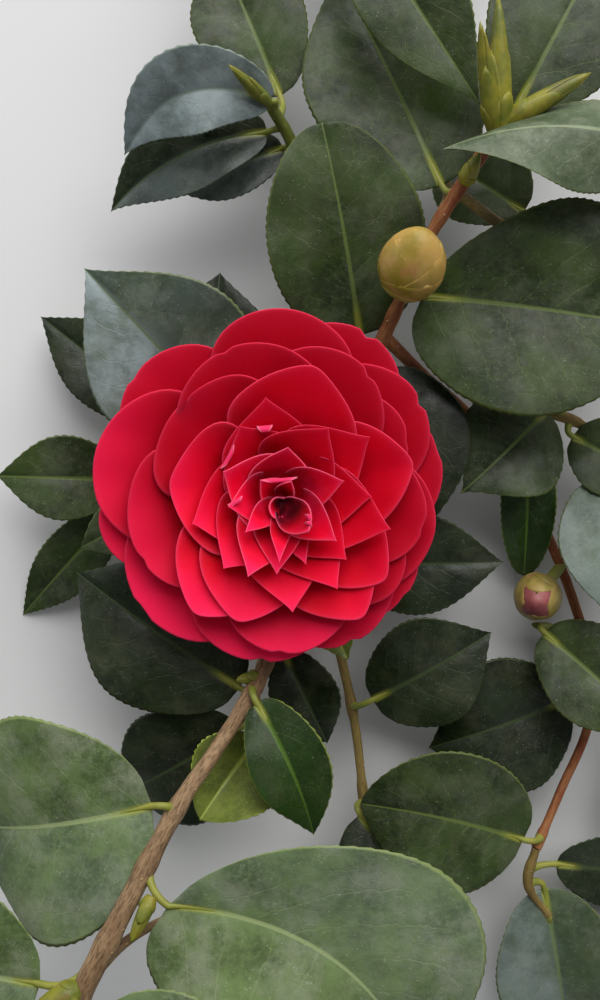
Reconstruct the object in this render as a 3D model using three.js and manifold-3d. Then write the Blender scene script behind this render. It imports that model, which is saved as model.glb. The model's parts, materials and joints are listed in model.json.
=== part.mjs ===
// A cut branch of camellia in flower: one long stem, a bough that forks off it, side twigs,
// leathery leaves, buds and one double flower. It lies on its lowest leaves with the flower up.
import * as THREE from "three";
import * as BufferGeometryUtils from "three/addons/utils/BufferGeometryUtils.js";
import Module from "manifold-3d";

const wasm = await Module();
wasm.setup();

// Driving dimensions, in millimetres
const EYE_HEIGHT = 240;        // height above the flower's rim from which places are sighted
const SEAT_GAP = 0.3;          // space between a stalk's foot and the limb that carries it
const LEAF_THICKNESS = 1.0;
const MIDRIB_DEPTH = 0.8;      // how far the midrib stands out under the leaf's foot
const STALK_RADIUS = 1.25;
const PETAL_THICKNESS = 0.9;
const PETAL_RAISE = 1.1;       // every second petal of a ring lies this much higher
const LEAST_PETAL_HALF = 0.6;

// How finely the solids are cut: faces round, and places along, as shares of the length
const LIMB_STEPS = 2;
const LIMB_SIDES = 7;
const BUD_SIDES = 7;
const ROUND_SIDES = 12;
const LEAF_STATIONS = [0.02, 0.13, 0.3, 0.5, 0.7, 0.88, 0.995];
const ROUND_PETAL_STATIONS = [0.3, 0.62, 0.86, 0.98];
const POINTED_PETAL_STATIONS = [0.34, 0.7, 0.97];

// Outlines of leaves and petals
const LEAF_FOOT_POWER = 0.5;   // low is a blunt foot
const LEAF_TIP_POWER = 1.05;   // high is a drawn-out tip
const LEAF_WIDEST_SHIFT = 0.9; // under 1 moves the widest place towards the foot
const LEAF_FOLD = 10;          // degrees that each half of a blade rises from the midrib
const PETAL_CLIMB = 2.2;       // high is a petal that stands up first and lies flat at its tip
const CLAW_WIDTH = 0.3;        // a petal's width at its root, as a share of its full width
const CLAW_END = 0.62;
const BLUNT_START = 0.6;
const POINT_START = 0.5;

// How a bud swells along its length: place, and share of its full radius
const LEAF_BUD_SWELL = [[0, 0.55], [0.15, 0.8], [0.35, 1], [0.6, 0.86], [0.82, 0.52], [1, 0.1]];
const ROUND_BUD_SWELL = [
  [0.02, 0.42], [0.14, 0.74], [0.32, 0.97], [0.5, 1], [0.7, 0.82], [0.88, 0.48], [1, 0.1],
];

// A place is written as sighted from the eye on the plane of the flower's rim, x and y,
// with its height above that plane. This slides it along the line of sight to that height.
function sighted([x, y, height]) {
  const shrink = (EYE_HEIGHT - height) / EYE_HEIGHT;
  return new THREE.Vector3(x * shrink, y * shrink, height);
}

// Limbs: the points that each runs through, and its radius at each of them
const MAIN_STEM = {
  points: [
    [-61, -135, 18], [-50, -114, 17], [-31, -77.5, 8], [-21, -62.5, 0], [-9.5, -43, -14],
    [0, -15, -34], [10, 17.5, -36], [21, 41, -24], [32.5, 66, -12], [44, 84, -8], [50, 95, -6],
  ],
  radii: [3.0, 2.7, 2.2, 2.0, 2.2, 2.1, 2.1, 2.2, 1.9, 1.7, 1.6],
};
const RIGHT_BOUGH = {
  from: 7.0,
  points: [
    [31, 31, -36], [44, 19, -43], [60, -5, -46], [71, -34, -46], [72.5, -54, -44],
    [65, -73, -39], [59, -87, -35],
  ],
  radii: [2.0, 2.0, 1.9, 1.8, 1.7, 1.6, 1.5, 1.3],
};

// Leaves: where the stalk leaves its limb, the blade's foot and tip, its width, how far the
// midrib arches up and sways to the right, and the turn, fold, twist and slant of the blade.
const STEM_LEAVES = {
  leaf_corner: { at: 1.1, base: [-65, -121, 17], tip: [-108, -108, 6], wide: 44, arch: 4 },
  leaf_bottom: { at: 0.5, base: [-50, -130, 30], tip: [-14, -150, 30], wide: 34, arch: 3 },
  leaf_front: {
    at: 1.6, base: [-33, -101.5, 15], tip: [30, -147, 14], wide: 61, arch: 7, sway: -15, slant: -40,
  },
  leaf_left: { at: 2.0, base: [-37, -78, 10], tip: [-82, -82, -12], wide: 61, arch: 8 },
  leaf_spoon: { at: 3.6, base: [-10, -59, -13], tip: [-25, -80, -3], wide: 20, arch: -3, fold: 25 },
  leaf_low_left: { at: 3.8, base: [-15, -57, -20], tip: [-44, -73, -40], wide: 34, arch: 4 },
  leaf_behind: { at: 4.1, base: [-15, -47, -18], tip: [-56, -18, -28], wide: 40, arch: 4 },
  leaf_below: { at: 3.8, base: [-11, -50.5, -5], tip: [3.5, -84, -4], wide: 23, arch: 5, sway: -3 },
  leaf_low_middle: { at: 4.4, base: [-4, -38, -26], tip: [7, -61, -30], wide: 19, arch: 3 },
  leaf_above: { at: 6.9, base: [15, 41, -27], tip: [5.5, 94.5, -10], wide: 43, arch: 3, turn: 8 },
  leaf_top: { at: 8.75, base: [35.5, 78.5, -16], tip: [9, 133, -24], wide: 48, arch: 2 },
  leaf_end: { at: 9.2, base: [54, 98, -14], tip: [78, 143, -15], wide: 40, arch: 3 },
  leaf_right: { at: 7.2, base: [30.5, 51, -20], tip: [97, 41.5, -14], wide: 59, arch: 5, slant: -18 },
  leaf_beside: { at: 6.5, base: [21, 32, -29], tip: [33, -6, -21], wide: 28, arch: 3, sway: -3 },
};
const BOUGH_LEAVES = {
  leaf_shaded: { at: 4.9, base: [67, -50, -40], tip: [32, -62, -38], wide: 39, arch: 3 },
  leaf_round: { at: 6.8, base: [56, -85, -31], tip: [15, -76, -28], wide: 39, arch: 5, sway: 2.5 },
};

// Sprays: a side twig with its own leaves, fused into one mass of foliage
const STEM_SPRAYS = {
  spray_upper_left: {
    from: 6.4, points: [[9, 50, -37], [3.5, 72, -33], [-2, 89, -22], [-7, 98, -15]],
    radii: [1.6, 1.5, 1.4, 1.3, 1.2],
    leaves: [
      { at: 3.8, base: [-5, 101, -22], tip: [-21, 138, -30], wide: 31, arch: 3 },
      { at: 4.0, base: [-7, 99.5, -12], tip: [-44, 88, -16], wide: 19, arch: 4, sway: 8, turn: -20 },
      { at: 3.4, base: [-8, 92, -20], tip: [-47.5, 72, -26], wide: 22, arch: 3, sway: 4 },
      { at: 3.0, base: [-4, 88, -26], tip: [-32, 77, -32], wide: 18, arch: 2 },
    ],
    buds: [{ from: [-8, 98, -15], to: [-18, 108, -8], radius: 1.7 }],
  },
  spray_top: {
    from: 8.25, points: [[36.5, 80, -28], [28, 108, -31], [18, 130, -27], [13, 147, -10]],
    radii: [1.5, 1.4, 1.3, 1.3, 1.2],
    leaves: [
      { at: 4.0, base: [12, 149, -6], tip: [45, 99, -5], wide: 26, arch: 2, turn: 12 },
      { at: 3.8, base: [10, 151, -12], tip: [-14, 186, -18], wide: 36, arch: 4 },
      { at: 3.5, base: [18, 148, -16], tip: [48, 176, -34], wide: 36, arch: 4 },
    ],
    buds: [],
  },
  spray_far_right: {
    from: 8.55, points: [[56, 66, -27], [78, 62, -30], [96, 70, -20], [103, 83, -7]],
    radii: [1.5, 1.4, 1.3, 1.2, 1.1],
    leaves: [
      { at: 4.0, base: [100, 81.5, 2], tip: [36, 88, 9], wide: 33, arch: 3, turn: 28, sway: -1.5 },
      { at: 3.3, base: [98, 66, -22], tip: [134, 58, -42], wide: 38, arch: 5 },
      { at: 3.9, base: [107, 88, -8], tip: [133, 113, -26], wide: 36, arch: 6 },
      { at: 1.1, base: [56, 72, -33], tip: [33, 86, -46], wide: 28, arch: 2 },
    ],
    buds: [],
  },
  spray_left: {
    from: 5.1, points: [[-10, 4, -37], [-24, 8, -40], [-38, 5, -42]], radii: [1.5, 1.4, 1.3, 1.1],
    leaves: [
      { at: 1.2, base: [-14, 17, -32], tip: [-54, 58, -14], wide: 46, arch: 4, fold: 8 },
      { at: 1.6, base: [-22, 20, -40], tip: [-20, 57, -34], wide: 36, arch: 3 },
      { at: 2.2, base: [-32, 20, -44], tip: [-65, 46, -44], wide: 24, arch: 3 },
      { at: 3.0, base: [-44, 5, -41], tip: [-76, 6, -34], wide: 24, arch: 4 },
      { at: 2.8, base: [-44, -1, -43], tip: [-69.5, -29, -52], wide: 18, arch: 3 },
      { at: 2.5, base: [-37, -3, -38], tip: [-55, -12, -33], wide: 15, arch: 2 },
    ],
    buds: [],
  },
  spray_low: {
    from: 5.0, points: [[7.5, -30, -39], [11, -42.5, -39], [14, -58, -39], [16, -76, -37]],
    radii: [1.6, 1.5, 1.4, 1.3, 1.2],
    leaves: [
      { at: 0.35, base: [10, -16, -34], tip: [51, -15.5, -30], wide: 28, arch: 3 },
      { at: 0.9, base: [6, -27, -35], tip: [12, -40, -25], wide: 12, arch: 2 },
      { at: 2.6, base: [18, -50, -34], tip: [48, -33, -30], wide: 31, arch: 3 },
      { at: 4.0, base: [14, -79, -36], tip: [27, -100, -42], wide: 26, arch: 3 },
      { at: 3.8, base: [20, -80, -41], tip: [33, -107, -52], wide: 18, arch: 2 },
    ],
    buds: [],
  },
};
const BOUGH_SPRAYS = {
  spray_right_upper: {
    from: 2.0, points: [[56, 22, -38], [68, 20, -38], [80, 12, -40]], radii: [1.5, 1.4, 1.3, 1.1],
    leaves: [
      { at: 1.8, base: [65, 24, -33], tip: [41, 2, -26], wide: 25, arch: 3, twist: 30 },
      { at: 2.0, base: [68, 16, -37], tip: [88, 4, -35], wide: 23, arch: 3 },
      { at: 1.0, base: [57, 15, -40], tip: [55, -20, -42], wide: 14, arch: 2 },
      { at: 2.7, base: [76, 5, -36], tip: [82, -33, -22], wide: 34, arch: 4 },
      { at: 3.0, base: [85, 9, -41], tip: [119, -4, -48], wide: 34, arch: 5 },
    ],
    buds: [],
  },
  spray_right_middle: {
    from: 4.0, points: [[66, -33, -41], [62, -32, -39]], radii: [1.3, 1.2, 1.1],
    leaves: [{ at: 1.6, base: [61, -33, -34], tip: [89, -58, -24], wide: 28, arch: 4 }],
    buds: [],
  },
  spray_right_side: {
    from: 4.8, points: [[80, -48, -42], [86, -52, -40]], radii: [1.4, 1.3, 1.1],
    leaves: [
      { at: 1.6, base: [86, -58, -39], tip: [105, -86, -34], wide: 32, arch: 4 },
      { at: 2.0, base: [91, -51, -41], tip: [125, -44, -50], wide: 34, arch: 5 },
    ],
    buds: [],
  },
  spray_right_end: {
    from: 7.0, points: [[57, -96, -36], [62, -104, -38]], radii: [1.2, 1.1, 1.0],
    leaves: [
      { at: 1.0, base: [61, -97, -38], tip: [67, -138, -44], wide: 34, arch: 4 },
      { at: 0.6, base: [64, -91, -38], tip: [96, -92, -50], wide: 22, arch: 3 },
      { at: 2.0, base: [67, -107, -41], tip: [97, -128, -52], wide: 30, arch: 4 },
    ],
    buds: [],
  },
};

// Buds on the main stem: the three leaf buds at its end, and those in the leaf joints
const STEM_BUDS = [
  { from: [50, 94, -7], to: [49, 127, 2], radius: 3.2 },
  { from: [48, 94, -5], to: [45.5, 120, 8], radius: 2.3 },
  { from: [51, 94, -7], to: [73, 107, -2], radius: 2.7 },
  { from: [43.5, 83, -8], to: [46, 88, -2], radius: 2.2 },
  { from: [-42, -99.5, 13.5], to: [-40, -112, 18], radius: 2.2 },
  { from: [-55.5, -124.5, 17.5], to: [-66, -134, 20], radius: 3.0 },
  { from: [-10.5, -44, -13], to: [-16, -45, -8], radius: 1.8 },
];
const SIDE_TWIG = { from: 0.75, points: [[-43, -110, 12], [-30, -103, 5]], radii: [1.5, 1.2, 0.9] };

const FLOWER_BUD = { from: 7.5, neck: [26, 52.5, -12], to: [30.5, 65.5, 6], radius: 8.8, stalk: 2.0 };
const SMALL_BUD = { from: 3.4, neck: [62, -22, -39], to: [55.5, -25.5, -25], radius: 7.0, stalk: 1.6 };

// The flower's axis runs from its foot to the middle of the rosette. Each ring of petals gives
// the height of its tips, how far up the axis it is rooted, its petals' width, how pointed
// they are, and for each petal its direction in degrees and its reach.
const FLOWER = {
  foot: [-7, 3, -17],
  heart: [-2.25, -2, 12],
  coreRadii: [
    [0, 8.5], [0.3, 19], [0.43, 17], [0.55, 14], [0.67, 10.5], [0.78, 7], [0.88, 4], [0.92, 0.8],
  ],
  rings: [
    {
      height: -1, root: 0.06, wide: 33, point: 0,
      petals: [
        [95, 51], [65, 47], [43, 43], [16, 39], [-15, 36], [-47, 35.5], [-76, 36], [-100, 39],
        [-145, 46], [-172, 47], [166, 51], [138, 52], [-124, 41],
      ],
    },
    {
      height: 2.5, root: 0.1, wide: 29, point: 0.1,
      petals: [
        [103, 44], [70, 40.5], [150, 41], [-171, 41], [30, 37], [-5, 34], [-35, 33], [-70, 34],
        [-112, 37], [125, 43],
      ],
    },
    {
      height: 6, root: 0.2, wide: 24, point: 0.2,
      petals: [
        [81, 36], [169, 33], [-136, 36], [-115, 32], [-57, 32], [19, 32], [-7, 34], [-30, 32],
        [48, 33], [125, 33],
      ],
    },
    {
      height: 9, root: 0.35, wide: 17, point: 0.6,
      petals: [
        [103, 28.5], [66, 24], [42, 26.5], [122, 24], [188, 25], [-13, 25], [-89, 26], [-61, 23],
        [-138, 25], [12, 22], [155, 24],
      ],
    },
    {
      height: 11.5, root: 0.5, wide: 12, point: 0.8,
      petals: [[92, 16], [28, 15], [150, 18], [182, 16], [-122, 19], [-95, 17], [-50, 18], [-15, 15]],
    },
    {
      height: 13, root: 0.65, wide: 7.5, point: 0.8,
      petals: [[90, 7], [137, 9.5], [-152, 11], [-104, 11], [-40, 9], [30, 8.5]],
    },
  ],
};

// The cup under the flower: how far each ring lies below its rim, and its share of the radius
const CALYX = {
  from: 5.55, rimRadius: 8.6, stalkRadius: 2.4, stalkDrop: 9,
  cup: [[6.5, 0.62], [3, 0.9], [0, 1]],
};

const LOOKS = {
  bark: { color: 0x9a7f63, roughness: 0.85 },
  redBark: { color: 0x7a4a35, roughness: 0.8 },
  leaf: { color: 0x2f4a2c, roughness: 0.45 },
  flower: { color: 0xc3122f, roughness: 0.7 },
  calyx: { color: 0x8a8f3c, roughness: 0.7 },
  bud: { color: 0xa89a3c, roughness: 0.6 },
};

// Turns a mesh into a solid, with its faces pointing out
function solidOf(geometry) {
  const bare = geometry.clone();
  bare.deleteAttribute("normal");
  bare.deleteAttribute("uv");
  const merged = BufferGeometryUtils.mergeVertices(bare, 1e-4);
  return new wasm.Manifold(new wasm.Mesh({
    numProp: 3,
    vertProperties: Float32Array.from(merged.attributes.position.array),
    triVerts: Uint32Array.from(merged.index.array),
  }));
}

// A closed skin over a row of rings that have the same number of points
function loft(rings) {
  const sides = rings[0].length;
  const positions = rings.flat().flatMap((point) => point.toArray());
  const index = [];
  for (let ring = 0; ring + 1 < rings.length; ring += 1) {
    for (let side = 0; side < sides; side += 1) {
      const next = (side + 1) % sides;
      const here = ring * sides;
      const there = here + sides;
      index.push(here + side, here + next, there + next);
      index.push(here + side, there + next, there + side);
    }
  }
  const last = (rings.length - 1) * sides;
  for (let side = 1; side + 1 < sides; side += 1) {
    index.push(0, side + 1, side);
    index.push(last, last + side, last + side + 1);
  }
  const geometry = new THREE.BufferGeometry();
  geometry.setAttribute("position", new THREE.Float32BufferAttribute(positions, 3));
  geometry.setIndex(signedVolume(positions, index) < 0 ? index.reverse() : index);
  return solidOf(geometry);
}

function signedVolume(positions, index) {
  const corner = (k) => new THREE.Vector3().fromArray(positions, 3 * index[k]);
  let six = 0;
  for (let k = 0; k < index.length; k += 3) {
    six += corner(k).dot(corner(k + 1).cross(corner(k + 2)));
  }
  return six / 6;
}

// A smooth path through a limb's points; a place on it is counted in points from its start
function limbOf({ points, radii }, start) {
  const places = points.map(sighted);
  if (start) {
    places.unshift(start);
  }
  const curve = new THREE.CatmullRomCurve3(places, false, "catmullrom", 0.5);
  const spans = places.length - 1;
  return {
    spans,
    point: (at) => curve.getPoint(at / spans),
    tangent: (at) => curve.getTangent(Math.min(at / spans, 1)),
    radius: (at) => {
      const k = Math.min(Math.floor(at), spans - 1);
      return THREE.MathUtils.lerp(radii[k], radii[k + 1], at - k);
    },
  };
}

// Directions across a path: up is as near to vertical as the path allows
function across(tangent, up = new THREE.Vector3(0, 0, 1)) {
  const rise = up.clone().addScaledVector(tangent, -up.dot(tangent)).normalize();
  const side = new THREE.Vector3().crossVectors(tangent, rise).normalize();
  return { rise, side };
}

function roundRing(centre, tangent, radius, sides) {
  const { rise, side } = across(tangent);
  return Array.from({ length: sides }, (_, k) => {
    const angle = (2 * Math.PI * k) / sides;
    return centre.clone()
      .addScaledVector(side, radius * Math.cos(angle))
      .addScaledVector(rise, radius * Math.sin(angle));
  });
}

function limbSolid(limb, extra = 0) {
  const rings = [];
  for (let step = 0; step <= limb.spans * LIMB_STEPS; step += 1) {
    const at = step / LIMB_STEPS;
    rings.push(roundRing(limb.point(at), limb.tangent(at), limb.radius(at) + extra, LIMB_SIDES));
  }
  return loft(rings);
}

// A ring of a petal: a flat strip, two points over it and two under it
function stripRing({ mid, side, up, half, thick }) {
  const at = (v, rise) => mid.clone().addScaledVector(side, half * v).addScaledVector(up, rise);
  return [at(-1, thick / 2), at(1, thick / 2), at(1, -thick / 2), at(-1, -thick / 2)];
}

// A ring of a leaf: three points over its upper side and three under it
function bladeRing({ mid, side, up, half, lift, thick, ridge, keel }) {
  const at = (v, rise) => mid.clone()
    .addScaledVector(side, half * v)
    .addScaledVector(up, lift * Math.abs(v) + rise);
  return [
    at(-1, thick / 2), at(0, thick / 2 + ridge), at(1, thick / 2),
    at(1, -thick / 2), at(0, -thick / 2 - keel), at(-1, -thick / 2),
  ];
}

// How wide a leaf is along its length: rounded at the foot, drawn out at the tip
function leafOutline(s) {
  const power = THREE.MathUtils.lerp(LEAF_FOOT_POWER, LEAF_TIP_POWER, s);
  return Math.pow(Math.sin(Math.PI * Math.pow(s, LEAF_WIDEST_SHIFT)), power);
}

// A leaf with its stalk, from the axis of the limb that carries it
function leafSolid(leaf, limb) {
  const { at, wide, arch, sway = 0, turn = 0, fold = LEAF_FOLD, twist = 0, slant = 0 } = leaf;
  const foot = sighted(leaf.base);
  const chord = sighted(leaf.tip).sub(foot);
  const axis = chord.clone().normalize();
  const up = across(axis).rise.applyAxisAngle(axis, THREE.MathUtils.degToRad(turn));
  const side = new THREE.Vector3().crossVectors(axis, up);
  const start = limb.point(at);
  const stalk = foot.clone().sub(start).normalize();
  const stalkFrame = across(stalk, up);
  const rings = [
    bladeRing({
      mid: start, side: stalkFrame.side, up: stalkFrame.rise, half: 0.9 * STALK_RADIUS, lift: 0,
      thick: STALK_RADIUS, ridge: 0.5 * STALK_RADIUS, keel: 0.5 * STALK_RADIUS,
    }),
  ];
  for (const s of LEAF_STATIONS) {
    const bow = 4 * s * (1 - s);
    const mid = foot.clone().addScaledVector(chord, s)
      .addScaledVector(up, arch * bow).addScaledVector(side, sway * bow);
    const along = chord.clone().addScaledVector(up, 4 * arch * (1 - 2 * s))
      .addScaledVector(side, 4 * sway * (1 - 2 * s)).normalize();
    const frame = across(along, up);
    const roll = THREE.MathUtils.degToRad(twist * (s - 0.5));
    const rise = frame.rise.applyAxisAngle(along, roll);
    const edge = frame.side.applyAxisAngle(along, roll)
      .applyAxisAngle(rise, THREE.MathUtils.degToRad(slant * (1 - s)));
    const half = Math.max(0.5 * wide * leafOutline(s), STALK_RADIUS);
    rings.push(bladeRing({
      mid, side: edge, up: rise, half: half * Math.cos(THREE.MathUtils.degToRad(fold)),
      lift: half * Math.sin(THREE.MathUtils.degToRad(fold)), thick: LEAF_THICKNESS,
      ridge: 0, keel: MIDRIB_DEPTH * (1 - s),
    }));
  }
  return loft(rings);
}

// A bud swells from its neck and closes to a point
function budSolid({ from, to, radius }) {
  const start = sighted(from);
  const axis = sighted(to).sub(start);
  const direction = axis.clone().normalize();
  return loft(LEAF_BUD_SWELL.map(([s, share]) => (
    roundRing(start.clone().addScaledVector(axis, s), direction, radius * share, BUD_SIDES)
  )));
}

// A round bud on a short stalk from a limb
function roundBudSolid({ from, neck, to, radius, stalk }, limb) {
  const foot = sighted(neck);
  const axis = sighted(to).sub(foot);
  const direction = axis.clone().normalize();
  const start = limb.point(from);
  const lead = foot.clone().sub(start).normalize();
  const rings = [roundRing(start, lead, stalk, ROUND_SIDES), roundRing(foot, lead, stalk, ROUND_SIDES)];
  for (const [s, share] of ROUND_BUD_SWELL) {
    rings.push(roundRing(foot.clone().addScaledVector(axis, s), direction, radius * share, ROUND_SIDES));
  }
  return loft(rings);
}

function joined(solids) {
  return solids.reduce((whole, piece) => whole.add(piece));
}

// Only the outer skin of the largest piece: no sealed hollow and no loose scrap
function wholePiece(solid) {
  return solid.decompose().reduce((best, piece) => (piece.volume() > best.volume() ? piece : best));
}

function spraySolid(spray, limb, clearance) {
  const twig = limbOf(spray, limb.point(spray.from));
  const pieces = [limbSolid(twig)];
  for (const leaf of spray.leaves) {
    pieces.push(leafSolid(leaf, twig));
  }
  for (const bud of spray.buds) {
    pieces.push(budSolid(bud));
  }
  return wholePiece(joined(pieces).subtract(clearance));
}

// How far round a petal's width has grown, from its narrow claw to its broad end
function petalOutline(s, point) {
  const spread = Math.sin(Math.min(s / CLAW_END, 1) * Math.PI / 2);
  const claw = THREE.MathUtils.lerp(CLAW_WIDTH, 1, spread);
  const pastBlunt = Math.max(s - BLUNT_START, 0) / (1 - BLUNT_START);
  const pastPoint = Math.max(s - POINT_START, 0) / (1 - POINT_START);
  const blunt = Math.sqrt(Math.max(1 - Math.pow(pastBlunt, 2.4), 0));
  const pointed = 1 - Math.pow(pastPoint, 1.3);
  return claw * THREE.MathUtils.lerp(blunt, pointed, point);
}

// A petal leaves the axis at its root, climbs fast and flattens out towards its tip
function petalSolid(ring, [degrees, reach], order) {
  const angle = THREE.MathUtils.degToRad(degrees);
  const raise = (order % 2) * PETAL_RAISE;
  const axis = sighted(FLOWER.heart).sub(sighted(FLOWER.foot));
  const root = sighted(FLOWER.foot).addScaledVector(axis, ring.root);
  const [heartX, heartY] = FLOWER.heart;
  const tip = sighted([
    heartX + reach * Math.cos(angle), heartY + reach * Math.sin(angle), ring.height + raise,
  ]);
  const out = new THREE.Vector3(tip.x - root.x, tip.y - root.y, 0);
  const climb = tip.z - root.z;
  const stations = ring.point > 0.5 ? POINTED_PETAL_STATIONS : ROUND_PETAL_STATIONS;
  const rings = stations.map((s) => {
    const mid = root.clone().addScaledVector(out, 0.08 + 0.92 * s);
    mid.z += climb * (1 - Math.pow(1 - s, PETAL_CLIMB));
    const slope = climb * PETAL_CLIMB * Math.pow(1 - s, PETAL_CLIMB - 1);
    const along = new THREE.Vector3(out.x, out.y, slope).normalize();
    const { rise, side } = across(along);
    const half = Math.max(0.5 * ring.wide * petalOutline(s, ring.point), LEAST_PETAL_HALF);
    return stripRing({ mid, side, up: rise, half, thick: PETAL_THICKNESS });
  });
  return loft(rings);
}

function flowerSolid() {
  const foot = sighted(FLOWER.foot);
  const axis = sighted(FLOWER.heart).sub(foot);
  const direction = axis.clone().normalize();
  const core = loft(FLOWER.coreRadii.map(([s, radius]) => (
    roundRing(foot.clone().addScaledVector(axis, s), direction, radius, ROUND_SIDES)
  )));
  const petals = FLOWER.rings.flatMap((ring) => (
    ring.petals.map((petal, order) => petalSolid(ring, petal, order))
  ));
  return wholePiece(joined([core, ...petals]));
}

// The cup of scales under the flower, on its short stalk
function calyxSolid(limb) {
  const start = limb.point(CALYX.from);
  const foot = sighted(FLOWER.foot);
  const direction = sighted(FLOWER.heart).sub(foot).normalize();
  const top = foot.clone().addScaledVector(direction, -SEAT_GAP);
  const below = (drop, radius) => (
    roundRing(top.clone().addScaledVector(direction, -drop), direction, radius, ROUND_SIDES)
  );
  return loft([
    roundRing(start, direction, CALYX.stalkRadius, ROUND_SIDES),
    below(CALYX.stalkDrop, CALYX.stalkRadius),
    ...CALYX.cup.map(([drop, share]) => below(drop, share * CALYX.rimRadius)),
  ]);
}

function meshOf(name, solid, look) {
  const { vertProperties, triVerts } = solid.getMesh();
  const geometry = new THREE.BufferGeometry();
  geometry.setAttribute("position", new THREE.BufferAttribute(Float32Array.from(vertProperties), 3));
  geometry.setIndex(new THREE.BufferAttribute(Uint32Array.from(triVerts), 1));
  geometry.computeVertexNormals();
  const mesh = new THREE.Mesh(geometry, new THREE.MeshStandardMaterial({ ...look, metalness: 0 }));
  mesh.name = name;
  return mesh;
}

const branch = new THREE.Group();
const stem = limbOf(MAIN_STEM);
const stemClearance = limbSolid(stem, SEAT_GAP);
const bough = limbOf(RIGHT_BOUGH, stem.point(RIGHT_BOUGH.from));
const boughClearance = limbSolid(bough, SEAT_GAP);

const sideTwig = limbOf(SIDE_TWIG, stem.point(SIDE_TWIG.from));
const stemSolid = joined([limbSolid(stem), limbSolid(sideTwig), ...STEM_BUDS.map((bud) => budSolid(bud))]);
branch.add(meshOf("main_stem", wholePiece(stemSolid), LOOKS.bark));
branch.add(meshOf("right_bough", wholePiece(limbSolid(bough).subtract(stemClearance)), LOOKS.redBark));

function addLeaves(leaves, limb, clearance) {
  for (const [name, leaf] of Object.entries(leaves)) {
    const solid = wholePiece(leafSolid(leaf, limb).subtract(clearance));
    branch.add(meshOf(name, solid, LOOKS.leaf));
  }
}

function addSprays(sprays, limb, clearance) {
  for (const [name, spray] of Object.entries(sprays)) {
    branch.add(meshOf(name, spraySolid(spray, limb, clearance), LOOKS.leaf));
  }
}

addLeaves(STEM_LEAVES, stem, stemClearance);
addLeaves(BOUGH_LEAVES, bough, boughClearance);
addSprays(STEM_SPRAYS, stem, stemClearance);
addSprays(BOUGH_SPRAYS, bough, boughClearance);

const budSolids = {
  flower_bud: roundBudSolid(FLOWER_BUD, stem).subtract(stemClearance),
  small_bud: roundBudSolid(SMALL_BUD, bough).subtract(boughClearance),
};
for (const [name, solid] of Object.entries(budSolids)) {
  branch.add(meshOf(name, wholePiece(solid), LOOKS.bud));
}
branch.add(meshOf("calyx", wholePiece(calyxSolid(stem).subtract(stemClearance)), LOOKS.calyx));
branch.add(meshOf("flower", flowerSolid(), LOOKS.flower));

// The origin is under the middle of the branch, on the surface that it lies on
const box = new THREE.Box3().setFromObject(branch);
const centre = box.getCenter(new THREE.Vector3());
branch.position.set(-centre.x, -centre.y, -box.min.z);

export default branch;
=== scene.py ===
# A cut branch of camellia in flower: bark, leathery leaves, scaly buds and one double flower.
# It repeats the places and rules of the part's source in finer shapes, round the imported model.
import json
import math
import random

import bmesh
import bpy
from mathutils import Matrix, Vector


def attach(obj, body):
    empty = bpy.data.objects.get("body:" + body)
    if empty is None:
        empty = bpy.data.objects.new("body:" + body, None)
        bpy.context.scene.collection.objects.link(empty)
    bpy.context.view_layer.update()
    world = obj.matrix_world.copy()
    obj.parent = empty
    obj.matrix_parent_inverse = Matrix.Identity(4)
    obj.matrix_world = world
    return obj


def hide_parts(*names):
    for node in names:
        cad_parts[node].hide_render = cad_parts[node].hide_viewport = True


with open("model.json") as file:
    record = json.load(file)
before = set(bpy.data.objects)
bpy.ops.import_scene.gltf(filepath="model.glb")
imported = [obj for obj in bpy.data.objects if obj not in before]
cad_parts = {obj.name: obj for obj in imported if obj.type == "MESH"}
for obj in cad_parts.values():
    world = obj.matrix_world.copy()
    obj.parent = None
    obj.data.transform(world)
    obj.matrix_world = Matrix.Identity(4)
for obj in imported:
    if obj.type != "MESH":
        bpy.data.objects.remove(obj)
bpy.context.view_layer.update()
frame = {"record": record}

# Driving dimensions, in millimetres as in the part's source
MM = 0.001
EYE_HEIGHT = 240.0          # height above the flower's rim from which places are sighted
PHOTO_HEIGHT = 250.0        # what the photo's long side takes in at the flower's rim
SENSOR = 36.0
LEAF_THICKNESS = 0.55
PETAL_THICKNESS = 0.5
SCALE_THICKNESS = 0.35
STALK_RADIUS = 0.98
STALK_SINK = 0.6            # how far a stalk's foot lies under its limb's middle
TOOTH_PITCH = 2.2
TOOTH_DEPTH = 0.32
ROWS_TO_TOOTH = 3
TOOTHED = (0.06, 0.97)      # the share of a leaf's length where its edge has teeth
ROUND_TURN = 2.0 * math.pi


def sighted(place):
    """Slides a place seen on the plane of the flower's rim along the line of sight to its height"""
    x, y, height = place
    shrink = (EYE_HEIGHT - height) / EYE_HEIGHT
    return Vector((x * shrink, y * shrink, height))


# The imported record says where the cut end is, so the source's own origin follows from it
CUT_PLACE = (-61, -135, 18)
CUT_END = frame["record"]["mounts"][0]
ORIGIN = Vector(CUT_END["pos_m"]) / MM - sighted(CUT_PLACE)


def to_metres(place):
    return (place + ORIGIN) * MM


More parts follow.
